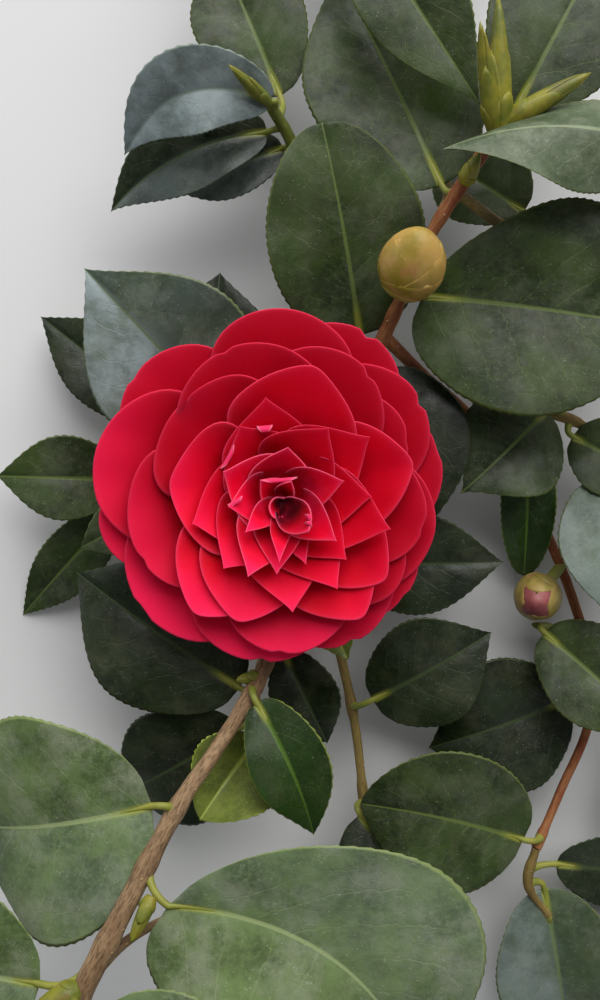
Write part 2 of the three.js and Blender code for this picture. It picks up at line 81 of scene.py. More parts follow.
# Limbs: the points that each runs through, and its radius at each of them
MAIN_STEM = {
    "points": [
        (-61, -135, 18), (-50, -114, 17), (-31, -77.5, 8), (-21, -62.5, 0), (-9.5, -43, -14),
        (0, -15, -34), (10, 17.5, -36), (21, 41, -24), (32.5, 66, -12), (44, 84, -8), (50, 95, -6),
    ],
    "radii": [3.0, 2.6, 2.1, 1.9, 2.0, 2.0, 1.9, 1.7, 1.55, 1.5, 1.45],
}
RIGHT_BOUGH = {
    "from": 7.0,
    "points": [
        (31, 31, -36), (44, 19, -43), (60, -5, -46), (71, -34, -46), (72.5, -54, -44),
        (65, -73, -39), (59, -87, -35),
    ],
    "radii": [1.8, 1.7, 1.6, 1.5, 1.4, 1.3, 1.25, 1.15],
}
SIDE_TWIG = {"from": 0.75, "points": [(-43, -110, 12), (-30, -103, 5)], "radii": [1.5, 1.2, 0.9]}

# A leaf that says nothing else: how far its midrib sways to the right, the blade's turn, fold,
# twist and slant, how drawn out its tip is, how its edges curl and wave, and its tone
PLAIN_LEAF = {
    "sway": 0, "turn": 0, "fold": 10, "twist": 0, "slant": 0, "drawn": 0.7, "curl": 0.05,
    "wave": 0.5, "tone": "green",
}


def leaf(at, base, tip, wide, arch, **more):
    """Where the stalk leaves its limb, the blade's foot and tip, its width and the midrib's arch"""
    return {**PLAIN_LEAF, "at": at, "base": base, "tip": tip, "wide": wide, "arch": arch, **more}


STEM_LEAVES = {
    "leaf_corner": leaf(1.1, (-65, -121, 17), (-108, -108, 6), 44, 4, tone="dusty"),
    "leaf_bottom": leaf(0.5, (-50, -130, 30), (-14, -150, 30), 34, 3, tone="dusty"),
    "leaf_front": leaf(
        1.6, (-33, -101.5, 15), (30, -147, 14), 67, 7, sway=-15, slant=-43, tone="dusty",
    ),
    "leaf_left": leaf(2.0, (-37, -76.5, 10), (-82, -80.5, -12), 56, 8, tone="dusty"),
    "leaf_spoon": leaf(
        3.6, (-10, -59, -13), (-25, -80, -3), 24, -3, fold=36, drawn=0, curl=-0.15, tone="young",
    ),
    "leaf_low_left": leaf(3.8, (-15, -57, -20), (-44, -73, -40), 34, 4, tone="deep"),
    "leaf_behind": leaf(4.1, (-15, -47, -18), (-56, -18, -28), 40, 4, tone="deep"),
    "leaf_below": leaf(3.8, (-11, -50.5, -5), (3.5, -84, -4), 20, 5, sway=-2, tone="fresh"),
    "leaf_low_middle": leaf(4.4, (-4, -38, -26), (7, -61, -30), 19, 3, tone="deep"),
    "leaf_above": leaf(6.9, (15, 41, -27), (5.5, 94.5, -10), 43, 3, turn=8, drawn=0),
    "leaf_top": leaf(8.75, (35.5, 78.5, -16), (9, 133, -24), 48, 2),
    "leaf_end": leaf(9.2, (54, 98, -14), (78, 143, -15), 40, 3),
    "leaf_right": leaf(7.2, (30.5, 51, -20), (97, 41.5, -14), 59, 5, slant=-18),
    "leaf_beside": leaf(6.5, (21, 32, -29), (33, -6, -21), 28, 3, sway=-3, tone="deep"),
}
BOUGH_LEAVES = {
    "leaf_shaded": leaf(4.9, (67, -50, -40), (32, -62, -38), 39, 3, tone="deep"),
    "leaf_round": leaf(6.8, (56, -85, -31), (15, -76, -28), 39, 5, sway=2.5, drawn=0.2),
}

# Sprays: a side twig with its own leaves and buds
STEM_SPRAYS = {
    "spray_upper_left": {
        "from": 6.4, "points": [(9, 50, -37), (3.5, 72, -33), (-2, 89, -22), (-7, 98, -15)],
        "radii": [1.6, 1.5, 1.4, 1.3, 1.2], "leaves": [
            leaf(3.8, (-5, 101, -22), (-21, 138, -30), 31, 3),
            leaf(4.0, (-7, 99.5, -12), (-44, 86, -16), 21, 4, sway=9, turn=-20, fold=20, tone="painted_sheen"),
            leaf(3.4, (-8, 92, -20), (-47.5, 72, -26), 22, 3, sway=4, tone="glossy"),
            leaf(3.0, (-4, 88, -26), (-32, 77, -32), 18, 2, tone="glossy"),
        ],
        "buds": [{"from": (-7.5, 99, -12), "to": (-18, 109, 0), "radius": 1.8}],
        "green": True,
    },
    "spray_top": {
        "from": 8.25, "points": [(36.5, 80, -28), (28, 108, -31), (18, 130, -27), (13, 147, -10)],
        "radii": [1.5, 1.4, 1.3, 1.3, 1.2], "leaves": [
            leaf(4.0, (12, 149, -6), (45, 99, -5), 26, 2, turn=12),
            leaf(3.8, (10, 151, -12), (-14, 186, -18), 36, 4),
            leaf(3.5, (18, 148, -16), (48, 176, -34), 36, 4),
        ],
    },
    "spray_far_right": {
        "from": 8.55, "points": [(56, 66, -27), (78, 62, -30), (96, 70, -20), (103, 83, -7)],
        "radii": [1.5, 1.4, 1.3, 1.2, 1.1], "leaves": [
            leaf(
                4.0, (100, 84, 2), (35.5, 88, 7), 28, 3, turn=25, twist=75, fold=-28, sway=7, drawn=0.5,
                tone="pale",
            ),
            leaf(3.3, (98, 66, -22), (134, 58, -42), 38, 5),
            leaf(3.9, (107, 88, -8), (133, 113, -26), 36, 6),
            leaf(1.1, (56, 72, -33), (33, 86, -46), 28, 2),
        ],
    },
    "spray_left": {
        "from": 5.1, "points": [(-10, 4, -37), (-24, 8, -40), (-38, 5, -42)],
        "radii": [1.5, 1.4, 1.3, 1.1], "leaves": [
            leaf(1.2, (-14, 17, -32), (-54, 58, -14), 46, 4, fold=12, turn=-8, tone="half_painted_sheen"),
            leaf(1.6, (-22, 20, -40), (-20, 57, -34), 36, 3, tone="deep"),
            leaf(2.2, (-32, 20, -44), (-65, 46, -44), 24, 3, tone="deep"),
            leaf(3.0, (-44, 5, -41), (-76, 6, -34), 24, 4),
            leaf(2.8, (-44, -1, -43), (-69.5, -29, -52), 18, 3),
            leaf(2.5, (-37, -3, -38), (-55, -12, -33), 15, 2),
        ],
    },
    "spray_low": {
        "from": 5.0, "points": [(7.5, -30, -39), (11, -42.5, -39), (14, -58, -39), (16, -76, -37)],
        "radii": [1.6, 1.5, 1.4, 1.3, 1.2], "leaves": [
            leaf(0.35, (10, -16, -34), (51, -15.5, -30), 28, 3, tone="deep"),
            leaf(0.9, (6, -27, -35), (12, -40, -25), 12, 2, tone="young"),
            leaf(2.6, (18, -50, -34), (48, -33, -30), 31, 3, tone="deep"),
            leaf(4.0, (15, -78.5, -31), (31, -103, -30), 30, 3, tone="deep"),
            leaf(3.8, (20, -80, -41), (33, -107, -52), 18, 2, tone="deep"),
        ],
    },
}
BOUGH_SPRAYS = {
    "spray_right_upper": {
        "from": 2.0, "points": [(56, 22, -38), (68, 20, -38), (80, 12, -40)],
        "radii": [1.5, 1.4, 1.3, 1.1], "leaves": [
            leaf(1.8, (62, 22.5, -33), (40, 1.5, -26), 32, 3, twist=20, drawn=1),
            leaf(2.0, (68, 16, -37), (88, 4, -35), 23, 3),
            leaf(1.0, (57, 15, -40), (56, -19, -42), 16, 2, drawn=0, tone="fresh"),
            leaf(2.7, (76, 5, -36), (82, -33, -22), 34, 4, tone="hazy"),
            leaf(3.0, (85, 9, -41), (119, -4, -48), 34, 5),
        ],
    },
    "spray_right_middle": {
        "from": 4.0, "points": [(66, -33, -41), (62, -32, -39)],
        "radii": [1.3, 1.2, 1.1], "leaves": [
            leaf(1.6, (61, -33, -34), (89, -58, -24), 28, 4),
        ],
    },
    "spray_right_side": {
        "from": 4.8, "points": [(80, -48, -42), (86, -52, -40)],
        "radii": [1.4, 1.3, 1.1], "leaves": [
            leaf(1.6, (86, -58, -39), (105, -86, -34), 32, 4),
            leaf(2.0, (91, -51, -41), (125, -44, -50), 34, 5),
        ],
    },
    "spray_right_end": {
        "from": 7.0, "points": [(57, -96, -36), (62, -104, -38)],
        "radii": [1.2, 1.1, 1.0], "leaves": [
            leaf(1.0, (61, -97, -38), (67, -138, -44), 37, 4, tone="hazy"),
            leaf(0.6, (64, -91, -38), (96, -92, -50), 22, 3, tone="deep"),
            leaf(2.0, (67, -107, -41), (97, -128, -52), 30, 4),
        ],
    },
}

# Leaf buds: the three at the main stem's end, and those in its leaf joints
STEM_BUDS = [
    {"from": (50.2, 92.5, -7), "to": (49.5, 127, 2), "radius": 3.1},
    {"from": (48.3, 92, -6.5), "to": (45, 120, 8), "radius": 2.4},
    {"from": (51, 94, -7), "to": (73, 107, -2), "radius": 3.0},
    {"from": (41, 79, -8), "to": (45, 87, -3), "radius": 2.4},
    {"from": (-37, -99, 15), "to": (-42.5, -111, 19), "radius": 2.0},
    {"from": (-55, -122, 19), "to": (-68, -129, 22), "radius": 3.2},
    {"from": (-10.5, -44, -13), "to": (-16, -45, -8), "radius": 1.8},
]
FLOWER_BUD = {"from": 7.5, "neck": (26, 52.5, -12), "to": (30.8, 67.2, 6), "radius": 9.1, "stalk": 2.0}
SMALL_BUD = {
    "from": 3.4, "neck": (60, -22.5, -39), "to": (58.6, -26.5, -24), "radius": 7.0, "stalk": 1.6,
}
CALYX = {"from": 5.55, "rim": 8.6, "depth": 9.0, "stalk": 2.4}
END_BUD = {"sunk": 1.0, "length": 6.0, "radius": 1.5}

# The flower's axis runs from its foot to the middle of the rosette. A ring of petals lies on a
# bowl round that axis. Each ring gives the height and the reach of its bowl's rim, the slope
# there, how far up the axis it is rooted, how far its petals wrap round the axis, how pointed
# they are, where along them they start to narrow and how narrow they start, how their sides
# cup up, how steep their keel is and how far their tips bend down. A shift sets the inmost
# ring off the axis.
# A petal is its direction in degrees, its reach, its width and its layer.
FLOWER_FOOT = (-7, 3, -17)
FLOWER_HEART = (-2.25, -2, 12)
LAYER_HEIGHT = 0.85
LAYER_CUP = 0.0014
BOWL_POWER = 2.3
PETAL_RINGS = [
    {
        "name": "petals_outer", "height": -1.8, "reach": 45, "slope": 0.22, "root": 0.06,
        "wrap": 0, "point": 0.05, "shoulder": 0.42, "claw": 0.3, "cup": 0, "keel": 0, "bend": 0.5,
        "tone": "outer",
        "petals": [
            (92, 50.3, 38, 1), (66, 48, 37, -0.2), (42, 42.7, 35, 0.8), (17, 39.4, 35, -0.2),
            (-13, 36.2, 35, 0.8), (-38, 36, 34, -0.2), (-62, 37, 34, 0.8), (-101, 39.2, 38, 1.8),
            (-141, 44.9, 39, 0.2), (-173, 48.3, 30, -1), (166, 51.2, 40, 2), (138, 52, 37, 0),
        ],
    },
    {
        "name": "petals_second", "height": 1.8, "reach": 37, "slope": 0.3, "root": 0.1,
        "wrap": 0, "point": 0.15, "shoulder": 0.42, "claw": 0.3, "cup": 0.001, "keel": 0.01,
        "bend": 0.3, "tone": "outer",
        "petals": [
            (107, 43.2, 38, 1), (68, 41, 35, 0), (38, 35.5, 30, -1), (-6, 33.7, 31, 0.8),
            (-38, 33, 28, -0.4), (-88, 36.3, 34, 1), (-167, 40.8, 38, 1), (138, 38.4, 38, 2.2),
        ],
    },
    {
        "name": "petals_third", "height": 5, "reach": 31, "slope": 0.38, "root": 0.2,
        "wrap": 0.1, "point": 0.6, "shoulder": 0.4, "claw": 0.5, "cup": 0.003, "keel": 0.04,
        "bend": 0, "tone": "middle",
        "petals": [
            (81, 36.2, 35, 1), (20, 32.4, 32, 0), (-37, 29.4, 27, 1), (-57, 32.5, 29, 0),
            (-115, 31.3, 30, 2), (-132, 35.8, 32, 0.2), (169, 31.3, 36, 2.4),
        ],
    },
    {
        "name": "petals_fourth", "height": 8.2, "reach": 24, "slope": 0.5, "root": 0.35,
        "wrap": 0.2, "point": 1, "shoulder": 0.3, "claw": 0.55, "cup": 0.002, "keel": 0.05,
        "bend": 0, "tone": "middle",
        "petals": [
            (103, 28.7, 30, 0), (122, 24.5, 27, 1.2), (65, 22.3, 25, 2.4), (42, 26.6, 28, 0.8),
            (8, 20.4, 23, 2), (-12, 25.4, 27, 0.6), (-43, 18.9, 20, 2.8), (-60, 23.3, 23, 1.4),
            (-89, 26, 27, 0.2), (-138, 22.8, 25, 1.6), (-171, 25.3, 29, 0.4),
        ],
    },
    {
        "name": "petals_fifth", "height": 10.6, "reach": 16.5, "slope": 0.65, "root": 0.45,
        "wrap": 0.35, "point": 1, "shoulder": 0.14, "claw": 0.5, "cup": 0.002, "keel": 0.06,
        "bend": 0, "tone": "heart",
        "petals": [
            (152, 19.5, 31, 0), (93, 15.3, 29, 1), (27, 14.9, 18, 2), (-36, 14, 18, 3),
            (-75, 14.5, 14, -1), (-102, 16.9, 19, 1.3), (-122, 20.3, 24, 0), (179, 15.8, 21, 1.2),
        ],
    },
    {
        "name": "petals_heart", "height": 12.6, "reach": 10, "slope": 0.95, "root": 0.55,
        "wrap": 0.5, "point": 1, "shoulder": 0.1, "claw": 0.4, "cup": 0.002, "keel": 0.1,
        "bend": 0, "tone": "heart",
        "petals": [(138, 10.4, 15, 0), (-152, 13, 11, 1), (-102, 13.8, 9, 2.2), (90, 6.6, 9, 1.6)],
    },
    {
        "name": "petals_inmost", "height": 14.2, "reach": 5.5, "slope": 1.8, "root": 0.6,
        "wrap": 1, "point": 0.9, "shoulder": 0.5, "claw": 1, "cup": 0, "keel": 0, "bend": 0,
        "tone": "inmost", "shift": (-0.1, -1.2),
        "petals": [(-45, 6.2, 14, 0.6), (110, 3.4, 13, 0.2), (-165, 4.2, 11, 0.3)],
    },
]
# Edges of petals rolled over on themselves: place, direction in degrees, the strip that is
# rolled up, and how wide it is along the edge
CURLS = [
    ((-8.7, 17.5, 4.9), 95, 4.2, 3.9), ((-15.9, -0.6, 7.0), 122, 2.8, 4.2),
    ((-17.6, 10.6, 4.1), 152, 2.8, 7.0), ((-5, 4.8, 11.7), 95, 2.4, 8.6),
    ((2.3, -4.2, 17.4), 215, 2.8, 2.2), ((2.3, -5.8, 18.5), 240, 2.4, 2.0),
]


def across(tangent, up=Vector((0, 0, 1))):
    """Two directions across a path: the rise, as near to up as it can be, and the side"""
    rise = (up - tangent * up.dot(tangent)).normalized()
    return rise, tangent.cross(rise).normalized()


def turned(vector, axis, degrees):
    return Matrix.Rotation(math.radians(degrees), 3, axis) @ vector


def mixed(low, high, share):
    return low + (high - low) * share


def thinning(v):
    """How a sheet's thickness runs out towards its edges, at v = -1 and v = 1"""
    return 1 - abs(v) ** 8


def linked(name, data):
    """A new object in the scene"""
    thing = bpy.data.objects.new(name, data)
    bpy.context.scene.collection.objects.link(thing)
    return thing


def heading(angle):
    """The level directions outwards and sideways at an angle round the flower"""
    out = Vector((math.cos(angle), math.sin(angle), 0))
    return out, Vector((-out.y, out.x, 0))


class Limb:
    """A smooth path through sighted places; a place on it is counted in points from its start"""

    def __init__(self, points, radii, start=None):
        self.places = [sighted(point) for point in points]
        if start is not None:
            self.places.insert(0, start)
        self.radii = radii
        self.spans = len(self.places) - 1

    def _span(self, at):
        k = max(0, min(int(at), self.spans - 1))
        here, there = self.places[k], self.places[k + 1]
        before = self.places[k - 1] if k > 0 else 2 * here - there
        after = self.places[k + 2] if k + 2 <= self.spans else 2 * there - here
        return here, there, 0.5 * (there - before), 0.5 * (after - here), at - k

    def point(self, at):
        here, there, leave, arrive, t = self._span(at)
        return (
            here * (2 * t ** 3 - 3 * t ** 2 + 1) + leave * (t ** 3 - 2 * t ** 2 + t)
            + there * (3 * t ** 2 - 2 * t ** 3) + arrive * (t ** 3 - t ** 2)
        )

    def tangent(self, at):
        here, there, leave, arrive, t = self._span(min(at, self.spans))
        slope = (
            (here - there) * (6 * t ** 2 - 6 * t) + leave * (3 * t ** 2 - 4 * t + 1)
            + arrive * (3 * t ** 2 - 2 * t)
        )
        return slope.normalized()

    def radius(self, at):
        k = max(0, min(int(at), self.spans - 1))
        return mixed(self.radii[k], self.radii[k + 1], at - k)


class Skin:
    """A growing mesh of patches, with a pattern map, a map to bake on, a rim value and one more"""

    def __init__(self, extra="half"):
        self.bm = bmesh.new()
        self.pattern = self.bm.loops.layers.uv.new("pattern")
        self.bake = self.bm.loops.layers.uv.new("OFBake")
        self.rim = self.bm.verts.layers.float.new("rim")
        self.extra = self.bm.verts.layers.float.new(extra)

    def patch(self, rows, material=0, turn_over=False, extras=None):
        """Adds a sheet. Each of its points is a place, a pattern place, a bake place and a rim"""
        grid = []
        for k, row in enumerate(rows):
            line = []
            for place, _, _, rim in row:
                vertex = self.bm.verts.new(to_metres(place))
                vertex[self.rim] = rim
                vertex[self.extra] = extras[k] if extras else 0.0
                line.append(vertex)
            grid.append(line)
        for r in range(len(rows) - 1):
            for c in range(len(rows[0]) - 1):
                corners = [(r, c), (r, c + 1), (r + 1, c + 1), (r + 1, c)]
                if turn_over:
                    corners.reverse()
                face = self.bm.faces.new([grid[i][j] for i, j in corners])
                face.material_index = material
                face.smooth = True
                for loop, (i, j) in zip(face.loops, corners):
                    loop[self.pattern].uv = rows[i][j][1]
                    loop[self.bake].uv = rows[i][j][2]

    def finish(self, name, materials):
        """Closes seams and poles, and makes the piece"""
        bmesh.ops.remove_doubles(self.bm, verts=self.bm.verts, dist=1e-6)
        bmesh.ops.dissolve_degenerate(self.bm, dist=1e-7, edges=self.bm.edges)
        bmesh.ops.recalc_face_normals(self.bm, faces=self.bm.faces)
        mesh = bpy.data.meshes.new(name)
        self.bm.to_mesh(mesh)
        self.bm.free()
        for material in materials:
            mesh.materials.append(material)
        return linked(name, mesh)


CELL_MARGIN = 0.012


class Cell:
    """One field of a piece's bake map"""

    def __init__(self, order, count):
        self.across = math.ceil(math.sqrt(count))
        self.down = math.ceil(count / self.across)
        self.column = order % self.across
        self.row = order // self.across

    def place(self, u, v):
        """The place on the whole map of a place in this field"""
        u = CELL_MARGIN + u * (1 - 2 * CELL_MARGIN)
        v = CELL_MARGIN + v * (1 - 2 * CELL_MARGIN)
        return (self.column + u) / self.across, (self.row + v) / self.down


def tube(skin, stations, cell, bake_band, material, sides=10):
    """A round stalk through stations of place, direction and radius, closed at its end"""
    rows = []
    low, high = bake_band
    last = len(stations) - 1
    for k, (centre, direction, radius) in enumerate(stations):
        rise, side = across(direction)
        row = []
        for j in range(sides + 1):
            angle = ROUND_TURN * j / sides
            place = centre + (side * math.cos(angle) + rise * math.sin(angle)) * radius
            bake = cell.place(j / sides, mixed(low, high, k / last))
            row.append((place, (j / sides, k / last), bake, 0.0))
        rows.append(row)
    centre, direction, radius = stations[-1]
    end = centre + direction * END_ROUNDING * radius
    rows.append([(end, pattern, bake, rim) for _, pattern, bake, rim in rows[-1]])
    skin.patch(rows, material)


# Leaves

SIDE_SHARES = [0.0, 0.035, 0.1, 0.22, 0.38, 0.55, 0.72, 0.87, 0.97, 1.0]
LEAF_SHARES = [-share for share in reversed(SIDE_SHARES[1:])] + SIDE_SHARES
VEIN_PAIRS = 7
VEIN_SWEEP = 0.2
VEIN_BEND = 0.12
NET_SHIFT = 0.0028

# The leaf's relief: the fold along the midrib and the groove in it, the puckers between the
# side veins, the wave of the edge, and the rib that runs under the blade
FOLD_ROUNDING = 0.004
FOLD_START = 0.063
GROOVE_DEPTH = 0.3
GROOVE_WIDTH = 0.9
PUCKER = 0.16
FULL_HALF = 20              # a leaf with this half width has its full puckers and waves
WAVE_SHIFT = 0.37
RIB_HEIGHT = 0.75
RIB_WIDTH = 0.8

# The stalk, and how it goes on as the rib
STALK_STEPS = 8
STALK_SWELLING = 0.5
SWELLING_REACH = 0.3
STALK_TAPER = 0.12
KNEE_SHARE = 0.55           # how far before the blade's foot the stalk bends
RIB_STEPS = 6
RIB_STEP = 0.035
RIB_START = 0.86
RIB_TAPER = 0.1
RIB_SINK = 0.8
END_ROUNDING = 0.3

# Where the stalk and the blade lie in a leaf's field of the bake map, the blade's upper side
# on the left and its underside on the right
STALK_BAND = (0.0, 0.05)
BLADE_BAND = (0.07, 1.0)
UPPER_BAND = (0.0, 0.62)
UNDER_BAND = (0.66, 1.0)


def leaf_outline(s, drawn):
    """How wide a leaf is along its length: rounded at the foot, round or drawn out at the tip"""
    return max(math.sin(math.pi * s ** 0.9), 0.0) ** (0.5 + drawn * s)


class Blade:
    """A leaf's surface, from its foot at s = 0 to its tip at s = 1"""

    def __init__(self, shape, draw):
        self.shape = shape
        self.foot = sighted(shape["base"])
        self.chord = sighted(shape["tip"]) - self.foot
        axis = self.chord.normalized()
        self.up = turned(across(axis)[0], axis, shape["turn"])
        self.side = axis.cross(self.up)
        self.phase = draw.random()
        self.waves = draw.uniform(1.6, 2.6)
        self.teeth = max(8, round(self.chord.length / TOOTH_PITCH))

    def frame(self, s):
        """The midrib's place at s, the directions up and across there, and half the width"""
        shape = self.shape
        bow, lean = 4 * s * (1 - s), 4 * (1 - 2 * s)
        off_chord = self.up * shape["arch"] + self.side * shape["sway"]
        mid = self.foot + self.chord * s + off_chord * bow
        along = (self.chord + off_chord * lean).normalized()
        rise, edge = across(along, self.up)
        roll = shape["twist"] * (s - 0.5)
        rise = turned(rise, along, roll)
        edge = turned(turned(edge, along, roll), rise, shape["slant"] * (1 - s))
        return mid, rise, edge, 0.5 * shape["wide"] * leaf_outline(s, shape["drawn"])

    def lift(self, s, v, half):
        """How far a point of the upper side stands over the line across the midrib"""
        shape = self.shape
        away = abs(v)
        fullness = half / FULL_HALF
        slope = math.sin(math.radians(shape["fold"])) * (math.sqrt(v * v + FOLD_ROUNDING) - FOLD_START)
        groove = GROOVE_DEPTH * math.exp(-(half * v / GROOVE_WIDTH) ** 2)
        start = s - VEIN_SWEEP * away - VEIN_BEND * away * away
        pucker = math.cos(ROUND_TURN * VEIN_PAIRS * start) * math.sin(math.pi * min(away * 1.1, 1))
        wave_phase = ROUND_TURN * (self.waves * s + self.phase + (WAVE_SHIFT if v < 0 else 0.0))
        wave = shape["wave"] * math.sin(wave_phase) * v * v
        bend = half * (slope - shape["curl"] * away ** 3)
        return bend - groove + (wave - PUCKER * pucker) * fullness

    def halves(self):
        """Half the blade's width at each row, in millimetres, for the midrib's own width"""
        steps = ROWS_TO_TOOTH * self.teeth
        return [self.frame(k / steps)[3] for k in range(steps + 1)]

    def rows(self, cell, under):
        """The blade's upper side or underside, row by row from its foot to its tip"""
        steps = ROWS_TO_TOOTH * self.teeth
        side_band = UNDER_BAND if under else UPPER_BAND
        rows = []
        for k in range(steps + 1):
            s = k / steps
            mid, rise, edge, half = self.frame(s)
            toothed = TOOTHED[0] < s < TOOTHED[1]
            tooth = TOOTH_DEPTH * (k % ROWS_TO_TOOTH) / (ROWS_TO_TOOTH - 1) if toothed else 0.0
            row = []
            for v in LEAF_SHARES:
                out = half * v + (tooth if v == 1 else -tooth if v == -1 else 0.0)
                lift = self.lift(s, v, half)
                if under:
                    rib = RIB_HEIGHT * (1 - s) * math.exp(-(out / RIB_WIDTH) ** 2)
                    lift -= (LEAF_THICKNESS * thinning(v) + rib) * min(1, half)
                place = mid + edge * out + rise * lift
                share = 0.5 + 0.5 * v
                bake = cell.place(mixed(*side_band, share), mixed(*BLADE_BAND, s))
                row.append((place, (share, s), bake, abs(v)))
            rows.append(row)
        return rows

    def stalk(self, limb):
        """The stalk bends from the limb's middle to the blade and goes on as its rib"""
        start = limb.point(self.shape["at"]) - Vector((0, 0, STALK_SINK))
        direction = self.chord.normalized()
        knee = self.foot - direction * KNEE_SHARE * (self.foot - start).length
        stations = []
        for k in range(STALK_STEPS + 1):
            t = k / STALK_STEPS
            place = start * (1 - t) ** 2 + knee * 2 * t * (1 - t) + self.foot * t * t
            ahead = ((knee - start) * (1 - t) + (self.foot - knee) * t).normalized()
            swelling = STALK_SWELLING * math.exp(-(t / SWELLING_REACH) ** 2)
            stations.append((place, ahead, STALK_RADIUS * (1.0 + swelling - STALK_TAPER * t)))
        for k in range(1, RIB_STEPS + 1):
            s = RIB_STEP * k
            mid, rise, _, _ = self.frame(s)
            ahead = (self.frame(s + 0.01)[0] - mid).normalized()
            radius = STALK_RADIUS * (RIB_START - RIB_TAPER * k)
            stations.append((mid - rise * (RIB_SINK * radius + RIB_TAPER * k), ahead, radius))
        return stations


def add_leaf(skin, shape, limb, cell, draw, first_material):
    """One leaf: its upper side, its underside and its stalk"""
    blade = Blade(shape, draw)
    halves = blade.halves()
    skin.patch(blade.rows(cell, False), first_material, extras=halves)
    skin.patch(blade.rows(cell, True), first_material + 1, turn_over=True, extras=halves)
    tube(skin, blade.stalk(limb), cell, STALK_BAND, first_material + 2)


def leaf_materials(tones):
    """The materials of a piece with leaves of these tones, and where each tone starts in it"""
    materials, starts = [], {}
    for tone in tones:
        if tone not in starts:
            starts[tone] = len(materials)
            materials += [LEAF_FACES[tone], LEAF_BACKS[tone], STALK]
    return materials, starts


def leaves_piece(name, leaves, limb):
    """Leaves of one piece, each with its own field of the bake map"""
    draw = random.Random(name)
    materials, starts = leaf_materials([shape["tone"] for shape in leaves])
    skin = Skin()
    for order, shape in enumerate(leaves):
        add_leaf(skin, shape, limb, Cell(order, len(leaves)), draw, starts[shape["tone"]])
    return skin.finish(name, materials)


# Petals

# Painted light and shade by side: petals towards this direction get pinker tips, those away from it a
# deeper red
PAINTED_LIGHT_SIDE = math.radians(-130)
PETAL_CENTRE = 0.6
PETAL_CLAW = 0.08
CLAW_END = 0.62
BLUNT_START = 0.55
BLUNT_POWER = 2.3
PETAL_RIM_STEPS = 26
PETAL_SHARES = [0.0, 0.2, 0.4, 0.58, 0.74, 0.86, 0.93, 0.975, 1.0]
PETAL_MARGIN = [0.0, 0.0, 0.0, 0.0, 0.0, 0.04, 0.12, 0.38, 1.0]
NOTCH_WIDTH = 1.3
RUFFLE_LENGTH = 13.0
SLOPE_STEP = 0.5
KEEL_ROUNDING = 0.3
KEEL_START = 0.55
FULL_PETAL = 15             # a petal with this half width has its full ruffle
TIP_BEND = 6
TIP_START = 0.6
CURL_BEND = math.radians(230)
CURL_THICKNESS = 0.3
CURL_STEPS = 12
CURL_SHARES = [-1.0, -0.75, -0.5, -0.25, 0.0, 0.25, 0.5, 0.75, 1.0]


def petal_outline(s, ring):
    """How far a petal's width has grown, from its claw to its broad or pointed end"""
    claw = mixed(ring["claw"], 1, math.sin(min(s / CLAW_END, 1) * math.pi / 2))
    blunt = math.sqrt(max(1 - (max(s - BLUNT_START, 0) / (1 - BLUNT_START)) ** BLUNT_POWER, 0))
    narrowing = max(s - ring["shoulder"], 0) / (1 - ring["shoulder"])
    pointed = (1 - narrowing ** (1.2 + 1.3 * ring["shoulder"])) * (1 - 0.45 * narrowing ** 5)
    return claw * mixed(blunt, pointed, ring["point"])


